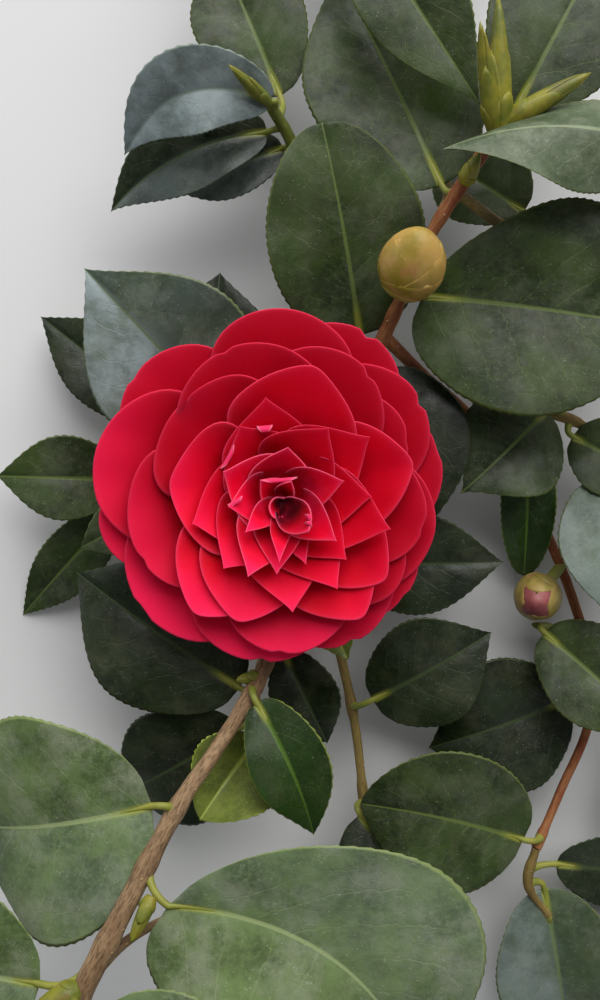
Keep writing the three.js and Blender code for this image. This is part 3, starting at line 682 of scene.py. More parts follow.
class Petal:
    """A petal lies on its ring's bowl, steep at the axis and flatter towards the rim"""

    def __init__(self, ring, petal, draw):
        direction, reach, wide, layer = petal
        angle = math.radians(direction)
        axis = sighted(FLOWER_HEART) - sighted(FLOWER_FOOT)
        shift_x, shift_y = ring.get("shift", (0, 0))
        self.ring = ring
        self.layer = layer
        self.root = sighted(FLOWER_FOOT) + axis * ring["root"] + Vector((shift_x, shift_y, 0))
        tip = sighted((
            FLOWER_HEART[0] + shift_x + reach * math.cos(angle),
            FLOWER_HEART[1] + shift_y + reach * math.sin(angle),
            ring["height"] + ring["slope"] * (reach - ring["reach"]) + LAYER_HEIGHT * layer,
        ))
        self.angle = math.atan2(tip.y - self.root.y, tip.x - self.root.x)
        self.length = math.hypot(tip.x - self.root.x, tip.y - self.root.y)
        self.half = 0.5 * wide
        self.notch = draw.choice([0.0, 0.02, 0.03]) if ring["point"] < 0.3 else 0.0
        self.notch_at = draw.uniform(-0.35, 0.35) * self.half
        self.ruffle = draw.uniform(0.1, 0.3)
        self.phase = draw.random()
        self.uneven = draw.uniform(-0.05, 0.05)
        # How much painted light the petal takes: more towards the lit side, less (painted shade) away
        # from it, with a little at random
        self.painted_light = 0.5 + 0.4 * math.cos(angle - PAINTED_LIGHT_SIDE) + draw.uniform(-0.1, 0.1)

    def outline(self):
        """The petal's edge, once round, as a place across and a share along"""
        edge = []
        for k in range(2 * PETAL_RIM_STEPS + 1):
            turn = math.pi * k / PETAL_RIM_STEPS
            s = 0.5 - 0.5 * math.cos(turn)
            x = math.copysign(self.half * petal_outline(s, self.ring), PETAL_RIM_STEPS - k)
            x *= 1 + self.uneven * math.sin(turn) + 0.025 * math.sin(4 * turn + ROUND_TURN * self.phase)
            dent = self.notch * math.exp(-((x - self.notch_at) / NOTCH_WIDTH) ** 2) if s > 0.8 else 0.0
            edge.append((x, s * (1 - dent)))
        return edge[:-1] + [edge[0]]

    def bowl(self, away):
        """The height of the ring's bowl over its root, away from the axis"""
        ring = self.ring
        climb = ring["height"] - self.root.z
        steep = climb - ring["slope"] * ring["reach"]
        short = ring["reach"] - away
        return climb - ring["slope"] * short - steep * max(short / ring["reach"], 0) ** BOWL_POWER

    def lift(self, x, s):
        """How far a point stands over the bowl: cupped, keeled, ruffled and bent at the tip"""
        ring = self.ring
        keel = ring["keel"] * (math.sqrt(x * x + KEEL_ROUNDING) - KEEL_START) * s
        wave = math.sin(ROUND_TURN * (x / RUFFLE_LENGTH + self.phase))
        wave = self.ruffle * (wave + 0.7 * math.sin(ROUND_TURN * (1.4 * s - self.phase))) * s * s
        wave *= min(1, self.half / FULL_PETAL)
        lift = (ring["cup"] + LAYER_CUP * self.layer) * x * x + keel + wave
        lift += LAYER_HEIGHT * self.layer * min(1, 2 * s)
        return lift - TIP_BEND * ring["bend"] * max(s - TIP_START, 0) ** 2

    def place(self, x, s, under):
        """A point of the petal, x across from its middle line and a share s along it"""
        ring = self.ring
        reach = self.length * mixed(PETAL_CLAW, 1, s)
        angle = self.angle + ring["wrap"] * x / (reach + 0.25 * self.length)
        out, side = heading(angle)
        spot = out * reach + side * (1 - ring["wrap"]) * x
        away = spot.length
        slope = (self.bowl(away + SLOPE_STEP) - self.bowl(away)) / SLOPE_STEP
        along = Vector((spot.x, spot.y, slope * away)).normalized()
        rise = across(along)[0]
        spot.z = self.bowl(away) + self.lift(x, s)
        return self.root + spot - rise * (PETAL_THICKNESS if under else 0.0)

    def rows(self, cell, under):
        """The petal's upper side or underside, as rings from its middle out to its edge"""
        edge = self.outline()
        rows = []
        for r, margin in zip(PETAL_SHARES, PETAL_MARGIN):
            row = []
            for x_edge, s_edge in edge:
                x, s = r * x_edge, mixed(PETAL_CENTRE, s_edge, r)
                place = self.place(x, s, under and r < 1)
                u = 0.5 + 0.5 * x / (1.05 * self.half)
                bake = cell.place(0.5 * u + (0.5 if under else 0.0), s)
                row.append((place, (u, s), bake, margin))
            rows.append(row)
        return rows


def petals_piece(ring):
    """One ring of petals, each closed by its own underside"""
    draw = random.Random(ring["name"])
    skin = Skin("painted_light")
    for order, petal_numbers in enumerate(ring["petals"]):
        petal = Petal(ring, petal_numbers, draw)
        cell = Cell(order, len(ring["petals"]))
        painted_lights = [petal.painted_light] * len(PETAL_SHARES)
        skin.patch(petal.rows(cell, False), 0, extras=painted_lights)
        skin.patch(petal.rows(cell, True), 0, turn_over=True, extras=painted_lights)
    return skin.finish(ring["name"], [PETALS[ring["tone"]]])


def curl_rows(place, direction, length, wide, cell, under):
    """A strip that is rolled up over a petal's edge"""
    out, side = heading(math.radians(direction))
    radius = length / CURL_BEND
    rows = []
    for k in range(CURL_STEPS + 1):
        t = k / CURL_STEPS
        turn = CURL_BEND * t
        inner = radius - (CURL_THICKNESS * math.sin(math.pi * t) if under else 0.0)
        centre = sighted(place) + out * inner * math.sin(turn)
        centre.z += radius - inner * math.cos(turn)
        half = 0.5 * wide * math.sin(math.pi * min(0.12 + 0.88 * t, 1)) ** 0.5
        row = []
        for v in CURL_SHARES:
            bake = cell.place(0.25 * (v + 1) + (0.5 if under else 0.0), t)
            row.append((centre + side * half * v, (0.5 + 0.5 * v, t), bake, abs(v) ** 8))
        rows.append(row)
    return rows


def curls_piece():
    """Edges of petals that roll over on themselves"""
    skin = Skin("painted_light")
    for order, curl in enumerate(CURLS):
        cell = Cell(order, len(CURLS))
        for under in (False, True):
            rows = curl_rows(*curl, cell, under)
            # Every curl takes the full painted light
            skin.patch(rows, 0, turn_over=under, extras=[1.0] * len(rows))
    return skin.finish("petal_curls", [PALE_PETAL])


# Buds and the calyx: a body round an axis, wrapped in overlapping scales


class Body:
    """A body round an axis, from its neck at s = 0 to its tip at s = 1"""

    def __init__(self, neck, tip, radius, swell):
        self.neck = neck
        self.axis = tip - neck
        self.rise, self.side = across(self.axis.normalized())
        self.radius = radius
        self.swell = swell

    def place(self, s, angle, out=0.0):
        radius = self.radius * self.swell(min(max(s, 0.0), 1.0)) + out
        ring = self.side * math.cos(angle) + self.rise * math.sin(angle)
        return self.neck + self.axis * s + ring * radius


def round_swell(s):
    """How full a round bud is along its axis, as a share of its radius"""
    return max(math.sin(math.pi * min(0.06 + 0.94 * s, 1.0) ** 0.9), 0.0) ** 0.62


def slender_swell(s):
    """A leaf bud is full near its foot and pointed at its tip"""
    return min(1, 0.6 + 2.2 * s) * max(1 - s ** 2.8, 0.0) ** 0.85


def cup_swell(s):
    """The calyx opens from its stalk like a cup"""
    return 0.28 + 0.72 * math.sin(0.5 * math.pi * s) ** 0.8


# The order of a scaly piece's materials
BODY_SKIN, SCALE_SKIN, STALK_SKIN = 0, 1, 2


def add_body(skin, body, cell, sides=24, steps=16):
    """The smooth body under the scales, closed at both ends"""
    rows = []
    for k in range(steps + 1):
        s = k / steps
        row = []
        for j in range(sides + 1):
            angle = ROUND_TURN * j / sides
            row.append((body.place(s, angle), (j / sides, s), cell.place(j / sides, s), 0.0))
        rows.append(row)
    caps = []
    for centre, row in ((body.neck, rows[0]), (body.neck + body.axis, rows[-1])):
        caps.append([(centre, pattern, bake, 0.0) for _, pattern, bake, _ in row])
    skin.patch([caps[0], *rows, caps[1]], BODY_SKIN)


SCALE_SHARES = [-1.0, -0.96, -0.75, -0.5, -0.25, 0.0, 0.25, 0.5, 0.75, 0.96, 1.0]
SCALE_SETTLING = 0.8        # how far a scale's edge and tip settle on what lies under them
FOOT_LIFT = 0.35
SIDE_DROP = 0.08
UNEVEN_TIPS = 0.02
TIER_TURN = 0.3
OTHER_LIFT = 0.12           # how much higher every other scale of a tier lies


def add_scale(skin, body, cell, scale, steps=10):
    """One scale: its middle angle, half its spread, where it starts and ends, and its lift"""
    angle, spread, low, high, lift = scale
    for under in (False, True):
        rows = []
        for k in range(steps + 1):
            t = k / steps
            s = mixed(low, high, t)
            width = spread * math.sqrt(max(1 - t ** 2.6, 0.0)) * (0.8 + 0.2 * math.sin(math.pi * t))
            row = []
            for v in SCALE_SHARES:
                thick = SCALE_THICKNESS * thinning(v) * thinning(t)
                settled = 1 - SCALE_SETTLING * max(abs(v), t) ** 10
                out = lift * mixed(FOOT_LIFT, 1, t) * settled - (thick if under else 0.0)
                place = body.place(s - SIDE_DROP * v * v * t * (1 - t), angle + width * v, out)
                u = 0.5 * (0.5 + 0.5 * v) + (0.5 if under else 0.0)
                row.append((place, (0.5 + 0.5 * v, t), cell.place(u, t), max(abs(v), t ** 3)))
            rows.append(row)
        skin.patch(rows, SCALE_SKIN, turn_over=under)


def scales_round(tiers, draw):
    """Tiers of scales: how many, their half spread, start, end and lift, each tier turned"""
    scales = []
    turn = draw.uniform(0, ROUND_TURN)
    for count, spread, low, high, lift in tiers:
        for k in range(count):
            angle = turn + ROUND_TURN * k / count
            reach = high + draw.uniform(-UNEVEN_TIPS, UNEVEN_TIPS)
            scales.append((angle, spread, low, reach, lift + OTHER_LIFT * (k % 2)))
        turn += math.pi / count + TIER_TURN
    return scales


def scaly_piece(name, body, tiers, stalk_stations, materials):
    """A scaly body on its stalk. The materials are the body's, the scales' and the stalk's"""
    draw = random.Random(name)
    scales = scales_round(tiers, draw)
    skin = Skin()
    count = len(scales) + 2
    add_body(skin, body, Cell(0, count))
    for order, scale in enumerate(scales):
        add_scale(skin, body, Cell(order + 1, count), scale)
    tube(skin, stalk_stations, Cell(count - 1, count), (0.0, 1.0), STALK_SKIN, sides=16)
    return skin.finish(name, materials)


FLOWER_BUD_TIERS = [(3, 1.25, 0.0, 0.3, 0.3), (2, 1.8, 0.02, 0.5, 0.15), (2, 2.2, 0.05, 0.84, 0.05)]
SMALL_BUD_TIERS = [(4, 0.95, 0.0, 0.4, 0.45), (4, 1.05, 0.02, 0.66, 0.3), (4, 1.3, 0.1, 0.9, 0.15)]
CALYX_TIERS = [(5, 0.8, 0.05, 0.62, 0.7), (5, 0.9, 0.2, 0.98, 0.45)]
LEAF_BUD_TIERS = [(2, 1.35, 0.0, 0.3, 0.45), (2, 1.3, 0.02, 0.62, 0.32), (2, 1.2, 0.1, 0.97, 0.18)]


BUD_INSET = 0.5             # how far a flower bud's body lies under its scales
LEAF_BUD_INSET = 0.25
STALK_IN_BUD = 0.08
STALK_IN_CALYX = 1.0
STALK_SPREAD = 0.04


def straight_stalk(start, end, lead, radii):
    """Stations of a straight stalk, with a radius at each"""
    last = len(radii) - 1
    return [(mixed(start, end, k / last), lead, radius) for k, radius in enumerate(radii)]


def round_bud(name, bud, limb, tiers, materials):
    """An unopened flower bud, on a stalk that leads into it"""
    neck = sighted(bud["neck"])
    body = Body(neck, sighted(bud["to"]), bud["radius"] - BUD_INSET, round_swell)
    start = limb.point(bud["from"])
    lead = (neck - start).normalized()
    radii = [bud["stalk"] * (1.0 + STALK_SPREAD * k) for k in range(6)]
    stations = straight_stalk(start, neck + body.axis * STALK_IN_BUD, lead, radii)
    return scaly_piece(name, body, tiers, stations, materials)


def calyx_piece(limb, materials):
    """The cup of scales under the flower, on its stalk"""
    foot, heart = sighted(FLOWER_FOOT), sighted(FLOWER_HEART)
    direction = (heart - foot).normalized()
    body = Body(foot - direction * CALYX["depth"], foot, CALYX["rim"], cup_swell)
    start = limb.point(CALYX["from"])
    lead = (body.neck - start).normalized()
    inside = body.neck + direction * STALK_IN_CALYX
    stations = straight_stalk(start, inside, lead, [CALYX["stalk"]] * 5)
    return scaly_piece("calyx_scales", body, CALYX_TIERS, stations, materials)


def leaf_buds_piece(name, buds):
    """Slender leaf buds, each a spindle in overlapping pointed scales"""
    draw = random.Random(name)
    skin = Skin()
    count = (1 + sum(tier[0] for tier in LEAF_BUD_TIERS)) * len(buds)
    order = 0
    for bud in buds:
        body = Body(bud["start"], bud["end"], bud["radius"] - LEAF_BUD_INSET, slender_swell)
        add_body(skin, body, Cell(order, count), sides=14, steps=12)
        order += 1
        for scale in scales_round(LEAF_BUD_TIERS, draw):
            add_scale(skin, body, Cell(order, count), scale, steps=8)
            order += 1
    return skin.finish(name, [LEAF_BUD_SCALES, LEAF_BUD_SCALES])


def sighted_buds(buds):
    """The same buds, with both ends moved to where they are seen"""
    return [
        {"start": sighted(bud["from"]), "end": sighted(bud["to"]), "radius": bud["radius"]}
        for bud in buds
    ]


def end_bud(limb):
    """The small bud at a twig's end"""
    tip, ahead = limb.point(limb.spans), limb.tangent(limb.spans)
    start, end = tip - ahead * END_BUD["sunk"], tip + ahead * END_BUD["length"]
    return {"start": start, "end": end, "radius": END_BUD["radius"]}


# Node trees are built with short calls: a value may be a number, a colour or another socket


class Nodes:
    def __init__(self, tree):
        self.tree = tree

    def add(self, kind, inputs=None, **settings):
        node = self.tree.nodes.new(kind)
        for name, value in settings.items():
            setattr(node, name, value)
        for name, value in (inputs or {}).items():
            self.put(node.inputs[name], value)
        return node

    def put(self, socket, value):
        if isinstance(value, bpy.types.NodeSocket):
            self.tree.links.new(value, socket)
        else:
            socket.default_value = value

    def calc(self, operation, first, second=0.0):
        node = self.add("ShaderNodeMath", operation=operation)
        self.put(node.inputs[0], first)
        self.put(node.inputs[1], second)
        return node.outputs[0]

    def times(self, first, second):
        return self.calc("MULTIPLY", first, second)

    def plus(self, first, second):
        return self.calc("ADD", first, second)

    def minus(self, first, second):
        return self.calc("SUBTRACT", first, second)

    def swing(self, value, reach):
        """Turns a value from 0 to 1 into one that swings to both sides"""
        return self.times(self.minus(value, 0.5), reach)

    def step(self, value, low, high, start=0.0, end=1.0):
        """A smooth step of value from low to high"""
        node = self.add("ShaderNodeMapRange", {"Value": value}, interpolation_type="SMOOTHSTEP")
        for name, number in (("From Min", low), ("From Max", high), ("To Min", start), ("To Max", end)):
            self.put(node.inputs[name], number)
        return node.outputs["Result"]

    def blend(self, factor, first, second):
        node = self.add("ShaderNodeMix", data_type="RGBA")
        self.put(node.inputs[0], factor)
        self.put(node.inputs[6], first)
        self.put(node.inputs[7], second)
        return node.outputs[2]

    def noise(self, vector, scale, detail=3.0, roughness=0.55):
        values = {"Vector": vector, "Scale": scale, "Detail": detail, "Roughness": roughness}
        return self.add("ShaderNodeTexNoise", values).outputs[0]

    def tint(self, base, code, mask, share=1.0):
        """Lays a plain colour over the base where the mask is, by a share"""
        return self.blend(self.times(mask, share), base, colour(code))

    def attribute(self, name, output="Fac"):
        return self.add("ShaderNodeAttribute", attribute_name=name).outputs[output]

    def pattern(self):
        return self.add("ShaderNodeUVMap", uv_map="pattern").outputs["UV"]

    def parts(self, vector):
        return self.add("ShaderNodeSeparateXYZ", {"Vector": vector}).outputs

    def raise_surface(self, shader, height, strength, distance):
        values = {"Strength": strength, "Distance": distance * MM, "Height": height}
        self.put(shader["Normal"], self.add("ShaderNodeBump", values).outputs["Normal"])

    def named(self, name, kind="FLOAT"):
        node = self.add("GeometryNodeInputNamedAttribute", {"Name": name}, data_type=kind)
        return node.outputs["Attribute"]

    def coated(self, geometry, material):
        values = {"Geometry": geometry, "Material": material}
        return self.add("GeometryNodeSetMaterial", values).outputs[0]

    def stored(self, geometry, name, value, kind="FLOAT"):
        values = {"Geometry": geometry, "Name": name, "Value": value}
        return self.add("GeometryNodeStoreNamedAttribute", values, data_type=kind).outputs[0]

    def pair(self, operation, first, second):
        """Two vectors, multiplied or added"""
        node = self.add("ShaderNodeVectorMath", operation=operation)
        self.put(node.inputs[0], first)
        self.put(node.inputs[1], second)
        return node.outputs[0]

    def stretched(self, vector, amounts):
        return self.pair("MULTIPLY", vector, amounts)

    def scaled(self, vector, amount):
        node = self.add("ShaderNodeVectorMath", {"Scale": amount}, operation="SCALE")
        self.put(node.inputs[0], vector)
        return node.outputs[0]


def colour(code):
    """A plain colour from its six-figure screen code"""
    screen = [(code >> shift & 255) / 255 for shift in (16, 8, 0)]
    linear = [((part + 0.055) / 1.055) ** 2.4 if part > 0.04 else part / 12.92 for part in screen]
    return (*linear, 1.0)


def new_group(name, inputs, outputs):
    """An empty shader group with these inputs and outputs"""
    tree = bpy.data.node_groups.new(name, "ShaderNodeTree")
    for label, kind, value in inputs:
        socket = tree.interface.new_socket(label, in_out="INPUT", socket_type=kind)
        if value is not None:
            socket.default_value = value
    for label in outputs:
        tree.interface.new_socket(label, in_out="OUTPUT", socket_type="NodeSocketFloat")
    nodes = Nodes(tree)
    return tree, nodes, nodes.add("NodeGroupInput").outputs, nodes.add("NodeGroupOutput").inputs


def side_veins(n, where, s, signed, away):
    """Lines that leave the midrib in pairs, wander, and fade towards the leaf's edge"""
    bow = n.plus(n.times(away, VEIN_SWEEP), n.times(n.times(away, away), VEIN_BEND))
    astray = n.plus(n.swing(n.noise(where, 80.0), 0.1), n.swing(n.noise(where, 420.0), 0.03))
    start = n.minus(n.plus(s, astray), bow)
    halfway = n.times(n.calc("GREATER_THAN", signed, 0.0), 0.4)
    turn = n.calc("FRACT", n.plus(n.times(start, VEIN_PAIRS), halfway))
    line = n.step(n.calc("ABSOLUTE", n.minus(turn, 0.5)), 0.008, 0.04, 1.0, 0.0)
    fade = n.times(n.step(away, 0.6, 0.95, 1.0, 0.0), n.step(start, -0.06, 0.0))
    return n.times(line, fade)


def vein_net(n, where, scale):
    """The fine net between the veins, on places that a noise shifts about"""
    noise = n.add("ShaderNodeTexNoise", {"Vector": where, "Scale": 260.0, "Detail": 2.0})
    moved = n.pair("ADD", where, n.scaled(noise.outputs[1], NET_SHIFT))
    values = {"Vector": moved, "Scale": scale}
    net = n.add("ShaderNodeTexVoronoi", values, feature="DISTANCE_TO_EDGE")
    return n.step(net.outputs["Distance"], 0.0, 0.045, 1.0, 0.0)


def vein_group():
    """The midrib, the wandering side veins, the net between them and the yellow foot"""
    tree, n, given, result = new_group(
        "leaf_veins",
        [("Blade", "NodeSocketVector", None), ("Object", "NodeSocketVector", None),
         ("Half", "NodeSocketFloat", 15.0), ("Net Scale", "NodeSocketFloat", 190.0)],
        ["Midrib", "Side Veins", "Net", "Foot"],
    )
    where = given["Object"]
    blade = n.parts(given["Blade"])
    s = blade["Y"]
    signed = n.swing(blade["X"], 2.0)
    away = n.calc("ABSOLUTE", signed)
    aside = n.times(away, given["Half"])
    patchy = n.step(n.noise(where, 75.0), 0.35, 0.6, 0.3, 1.0)
    n.put(result["Side Veins"], n.times(side_veins(n, where, s, signed, away), patchy))
    rib = n.calc("DIVIDE", aside, n.step(s, 0.0, 1.0, 0.95, 0.25))
    n.put(result["Midrib"], n.step(rib, 0.45, 1.0, 1.0, 0.0))
    n.put(result["Net"], n.times(vein_net(n, where, given["Net Scale"]), patchy))
    foot = n.times(n.step(s, 0.03, 0.2, 1.0, 0.0), n.step(aside, 0.4, 1.5, 1.0, 0.0))
    n.put(result["Foot"], foot)
    return tree


def dust_group():
    """Pale bloom in clouds, and scattered specks"""
    tree, n, given, result = new_group(
        "dust",
        [("Object", "NodeSocketVector", None), ("Cloud Scale", "NodeSocketFloat", 45.0),
         ("Speck Scale", "NodeSocketFloat", 900.0)],
        ["Clouds", "Specks"],
    )
    where = given["Object"]
    n.put(result["Clouds"], n.step(n.noise(where, given["Cloud Scale"], 6.0, 0.72), 0.42, 0.68))
    specks = n.add("ShaderNodeTexVoronoi", {"Vector": where, "Scale": given["Speck Scale"]})
    dots = n.step(specks.outputs["Distance"], 0.1, 0.3, 1.0, 0.0)
    few = n.step(n.noise(where, 500.0, 1.0), 0.54, 0.66)
    n.put(result["Specks"], n.times(dots, few))
    return tree


VEINS = vein_group()
DUST = dust_group()


def new_material(name, **constants):
    material = bpy.data.materials.new(name)
    material.use_nodes = True
    shader = material.node_tree.nodes["Principled BSDF"]
    for label, value in constants.items():
        shader.inputs[label.replace("_", " ")].default_value = value
    nodes = Nodes(material.node_tree)
    where = nodes.add("ShaderNodeTexCoord").outputs["Object"]
    return material, nodes, shader.inputs, where


def placed(nodes, group, inputs):
    """A shared group set into a material, with its own values"""
    node = nodes.tree.nodes.new("ShaderNodeGroup")
    node.node_tree = group
    for label, value in inputs.items():
        nodes.put(node.inputs[label], value)
    return node.outputs


LEAF_TONES = {
    # deep, light, vein, rim, bloom amount, roughness, painted sheen (a sky reflection) on the blade's
    # left and right half
    "dusty": (0x425430, 0x687C4C, 0x98A674, 0x8A9656, 0.62, 0.5, 0.12, 0.0),
    "green": (0x1A2410, 0x33431C, 0x5C6C36, 0x6E7A3C, 0.14, 0.42, 0.0, 0.0),
    # deep: the leaf's own dark green, made darker still as painted shade for leaves that lie in shade
    "deep": (0x0F160B, 0x1C2712, 0x3A472A, 0x48542F, 0.05, 0.34, 0.0, 0.0),
    "fresh": (0x17260E, 0x253C14, 0x4F6A26, 0x9AA648, 0.05, 0.34, 0.0, 0.0),
    "young": (0x46561E, 0x76823A, 0xA4AE50, 0x9AAE34, 0.06, 0.28, 0.0, 0.0),
    # glossy: the greens darkened as painted shade, for leaves shaded by the leaves above them
    "glossy": (0x10160C, 0x1E2816, 0x46543A, 0x5A6A44, 0.08, 0.3, 0.22, 0.0),
    # pale: a lighter grey-green that is partly bloom and partly painted sky reflection
    "pale": (0x3A4830, 0x526046, 0x828C6C, 0x8E9854, 0.4, 0.45, 0.0, 0.0),
    "painted_sheen": (0x26322A, 0x3E4C48, 0x6A7A70, 0x74846C, 0.2, 0.3, 0.8, 0.75),
    "half_painted_sheen": (0x1E2A16, 0x3A4830, 0x5E6E44, 0x74804C, 0.4, 0.36, 0.9, 0.2),
    "hazy": (0x26341E, 0x3C4C2C, 0x5E6E44, 0x74804C, 0.2, 0.36, 0.05, 0.42),
}
# Painted reflection: the blue-grey of the sky in the leaves' wax
PAINTED_SHEEN_GREY = 0x8C989A
DUST_COLOUR = 0x888E78
SPECK_COLOUR = 0xB4B8A8
STALK_GREEN = 0x8C9030
OLIVE_GREY = 0x40422E
BACK_VEIN = 0x8E9860
BACK_RIB = 0x979E58


def blade_veins(n, where):
    """The blade's own pattern, and the veins on it"""
    blade = n.pattern()
    values = {"Blade": blade, "Object": where, "Half": n.attribute("half"), "Net Scale": 190.0}
    return blade, placed(n, VEINS, values)


def leaf_face(tone, deep, light, vein, rim, bloom, rough, painted_sheen_left, painted_sheen_right):
    """The upper side: green in patches, veined and dusty, under an uneven wax, with a painted sky sheen
    on one or both halves
    """
    material, n, shader, where = new_material(
        f"leaf_face_{tone}", Coat_Roughness=0.25, Specular_IOR_Level=0.18,
    )
    blade, veins = blade_veins(n, where)
    dust = placed(n, DUST, {"Object": where, "Cloud Scale": 75.0, "Speck Scale": 1300.0})
    patches = n.step(n.noise(where, 50.0, 6.0, 0.65), 0.38, 0.62)
    base = n.blend(patches, colour(deep), colour(light))
    base = n.tint(base, OLIVE_GREY, n.step(n.noise(where, 110.0, 6.0, 0.7), 0.46, 0.62), 0.35)
    base = n.tint(base, light, n.step(n.noise(where, 750.0, 6.0, 0.85), 0.44, 0.62), 0.55)
    base = n.tint(base, vein, veins["Net"], 0.12)
    base = n.tint(base, vein, veins["Side Veins"], 0.24)
    base = n.tint(base, DUST_COLOUR, dust["Clouds"], bloom)
    # Painted sheen: a blue-grey sky reflection laid in patches on one or both halves of the blade
    painted_sheen = n.step(n.parts(blade)["X"], 0.4, 0.6, painted_sheen_left, painted_sheen_right)
    uneven = n.step(n.noise(where, 60.0, 6.0, 0.7), 0.35, 0.6, 0.35, 1.0)
    base = n.tint(base, PAINTED_SHEEN_GREY, n.times(painted_sheen, uneven))
    base = n.tint(base, SPECK_COLOUR, dust["Specks"], 0.15 + 0.5 * bloom)
    base = n.tint(base, vein, veins["Midrib"], 0.75)
    base = n.tint(base, STALK_GREEN, veins["Foot"], 0.85)
    base = n.tint(base, rim, n.step(n.attribute("rim"), 0.965, 1.0), 0.6)
    n.put(shader["Base Color"], base)
    waxy = n.noise(where, 80.0, 6.0, 0.75)
    n.put(shader["Roughness"], n.step(waxy, 0.38, 0.62, rough - 0.08, rough + 0.16))
    n.put(shader["Coat Weight"], n.step(n.noise(where, 70.0, 6.0, 0.75), 0.4, 0.62, 0.17, 0.0))
    net = n.times(veins["Net"], -0.3)
    sunk = n.plus(n.times(veins["Side Veins"], -0.55), net)
    grain = n.times(n.noise(where, 1300.0, 3.0), 0.5)
    n.raise_surface(shader, n.plus(sunk, grain), 0.45, 0.2)
    return material


def leaf_back(tone, light, vein):
    """The underside is paler and duller, and its veins stand out"""
    material, n, shader, where = new_material(f"leaf_back_{tone}", Specular_IOR_Level=0.3)
    _, veins = blade_veins(n, where)
    base = n.blend(n.step(n.noise(where, 70.0, 4.0), 0.3, 0.7), colour(light), colour(vein))
    base = n.tint(base, vein, veins["Net"], 0.25)
    base = n.tint(base, BACK_VEIN, veins["Side Veins"], 0.5)
    base = n.tint(base, BACK_RIB, veins["Midrib"], 0.8)
    base = n.tint(base, STALK_GREEN, veins["Foot"], 0.85)
    n.put(shader["Base Color"], base)
    n.put(shader["Roughness"], n.step(n.noise(where, 200.0), 0.3, 0.7, 0.55, 0.68))
    height = n.plus(veins["Side Veins"], n.times(veins["Net"], 0.4))
    n.raise_surface(shader, height, 0.5, 0.3)
    return material


LEAF_FACES = {tone: leaf_face(tone, *values) for tone, values in LEAF_TONES.items()}
LEAF_BACKS = {tone: leaf_back(tone, *values[1:3]) for tone, values in LEAF_TONES.items()}


def smooth_green(name, first, second, blush, blush_share, rough=0.45, scale=160.0, edge=0.35):
    """Stalks and scales: a smooth skin in two greens with a brown or pink blush"""
    material, n, shader, where = new_material(name, Specular_IOR_Level=0.45)
    base = n.blend(n.step(n.noise(where, scale, 4.0), 0.35, 0.65), colour(first), colour(second))
    patches = n.step(n.noise(where, 1.7 * scale, 5.0, 0.65), 0.5, 0.72)
    base = n.tint(base, blush, patches, blush_share)
    base = n.tint(base, blush, n.step(n.attribute("rim"), 0.9, 1.0), edge)
    n.put(shader["Base Color"], base)
    n.put(shader["Roughness"], n.step(n.noise(where, 700.0), 0.3, 0.7, rough, rough + 0.15))
    n.raise_surface(shader, n.noise(where, 1800.0, 3.0), 0.3, 0.1)
    return material


STALK = smooth_green("stalk", 0x727A28, 0x8A8A38, 0x74622E, 0.25)
BUD_SCALES = smooth_green("flower_bud_scales", 0x867418, 0xB4904A, 0xA87444, 0.8, scale=90.0, edge=0.12)
SMALL_BUD_SCALES = smooth_green("small_bud_scales", 0x74662A, 0x94803E, 0x8E5244, 0.5, edge=0.2)
BUD_BLUSH = smooth_green("bud_blush", 0x6C2C2E, 0x8E4C4C, 0x48201E, 0.5)
LEAF_BUD_SCALES = smooth_green("leaf_bud_scales", 0x5E661A, 0x84801E, 0x74502A, 0.5)
CALYX_SCALES = smooth_green("calyx_green", 0x5C6822, 0x7C7C32, 0x664A26, 0.4)

# Painted light: the pink that lit petal tips glow with
GLOW_PINK = 0xFF1F55
PETAL_TONES = {
    # painted shade at the foot, own colour, painted light towards the tip, painted highlight on the rim
    "outer": (0x94000E, 0xB4001C, 0xBE082A, 0xD03456),
    "middle": (0xA0000E, 0xD80020, 0xE60C3A, 0xEC4870),
    "heart": (0x96000E, 0xF0002C, 0xFC2660, 0xFC6E96),
    "inmost": (0x300004, 0xC0001C, 0xEC1C4A, 0xF66A90),
}


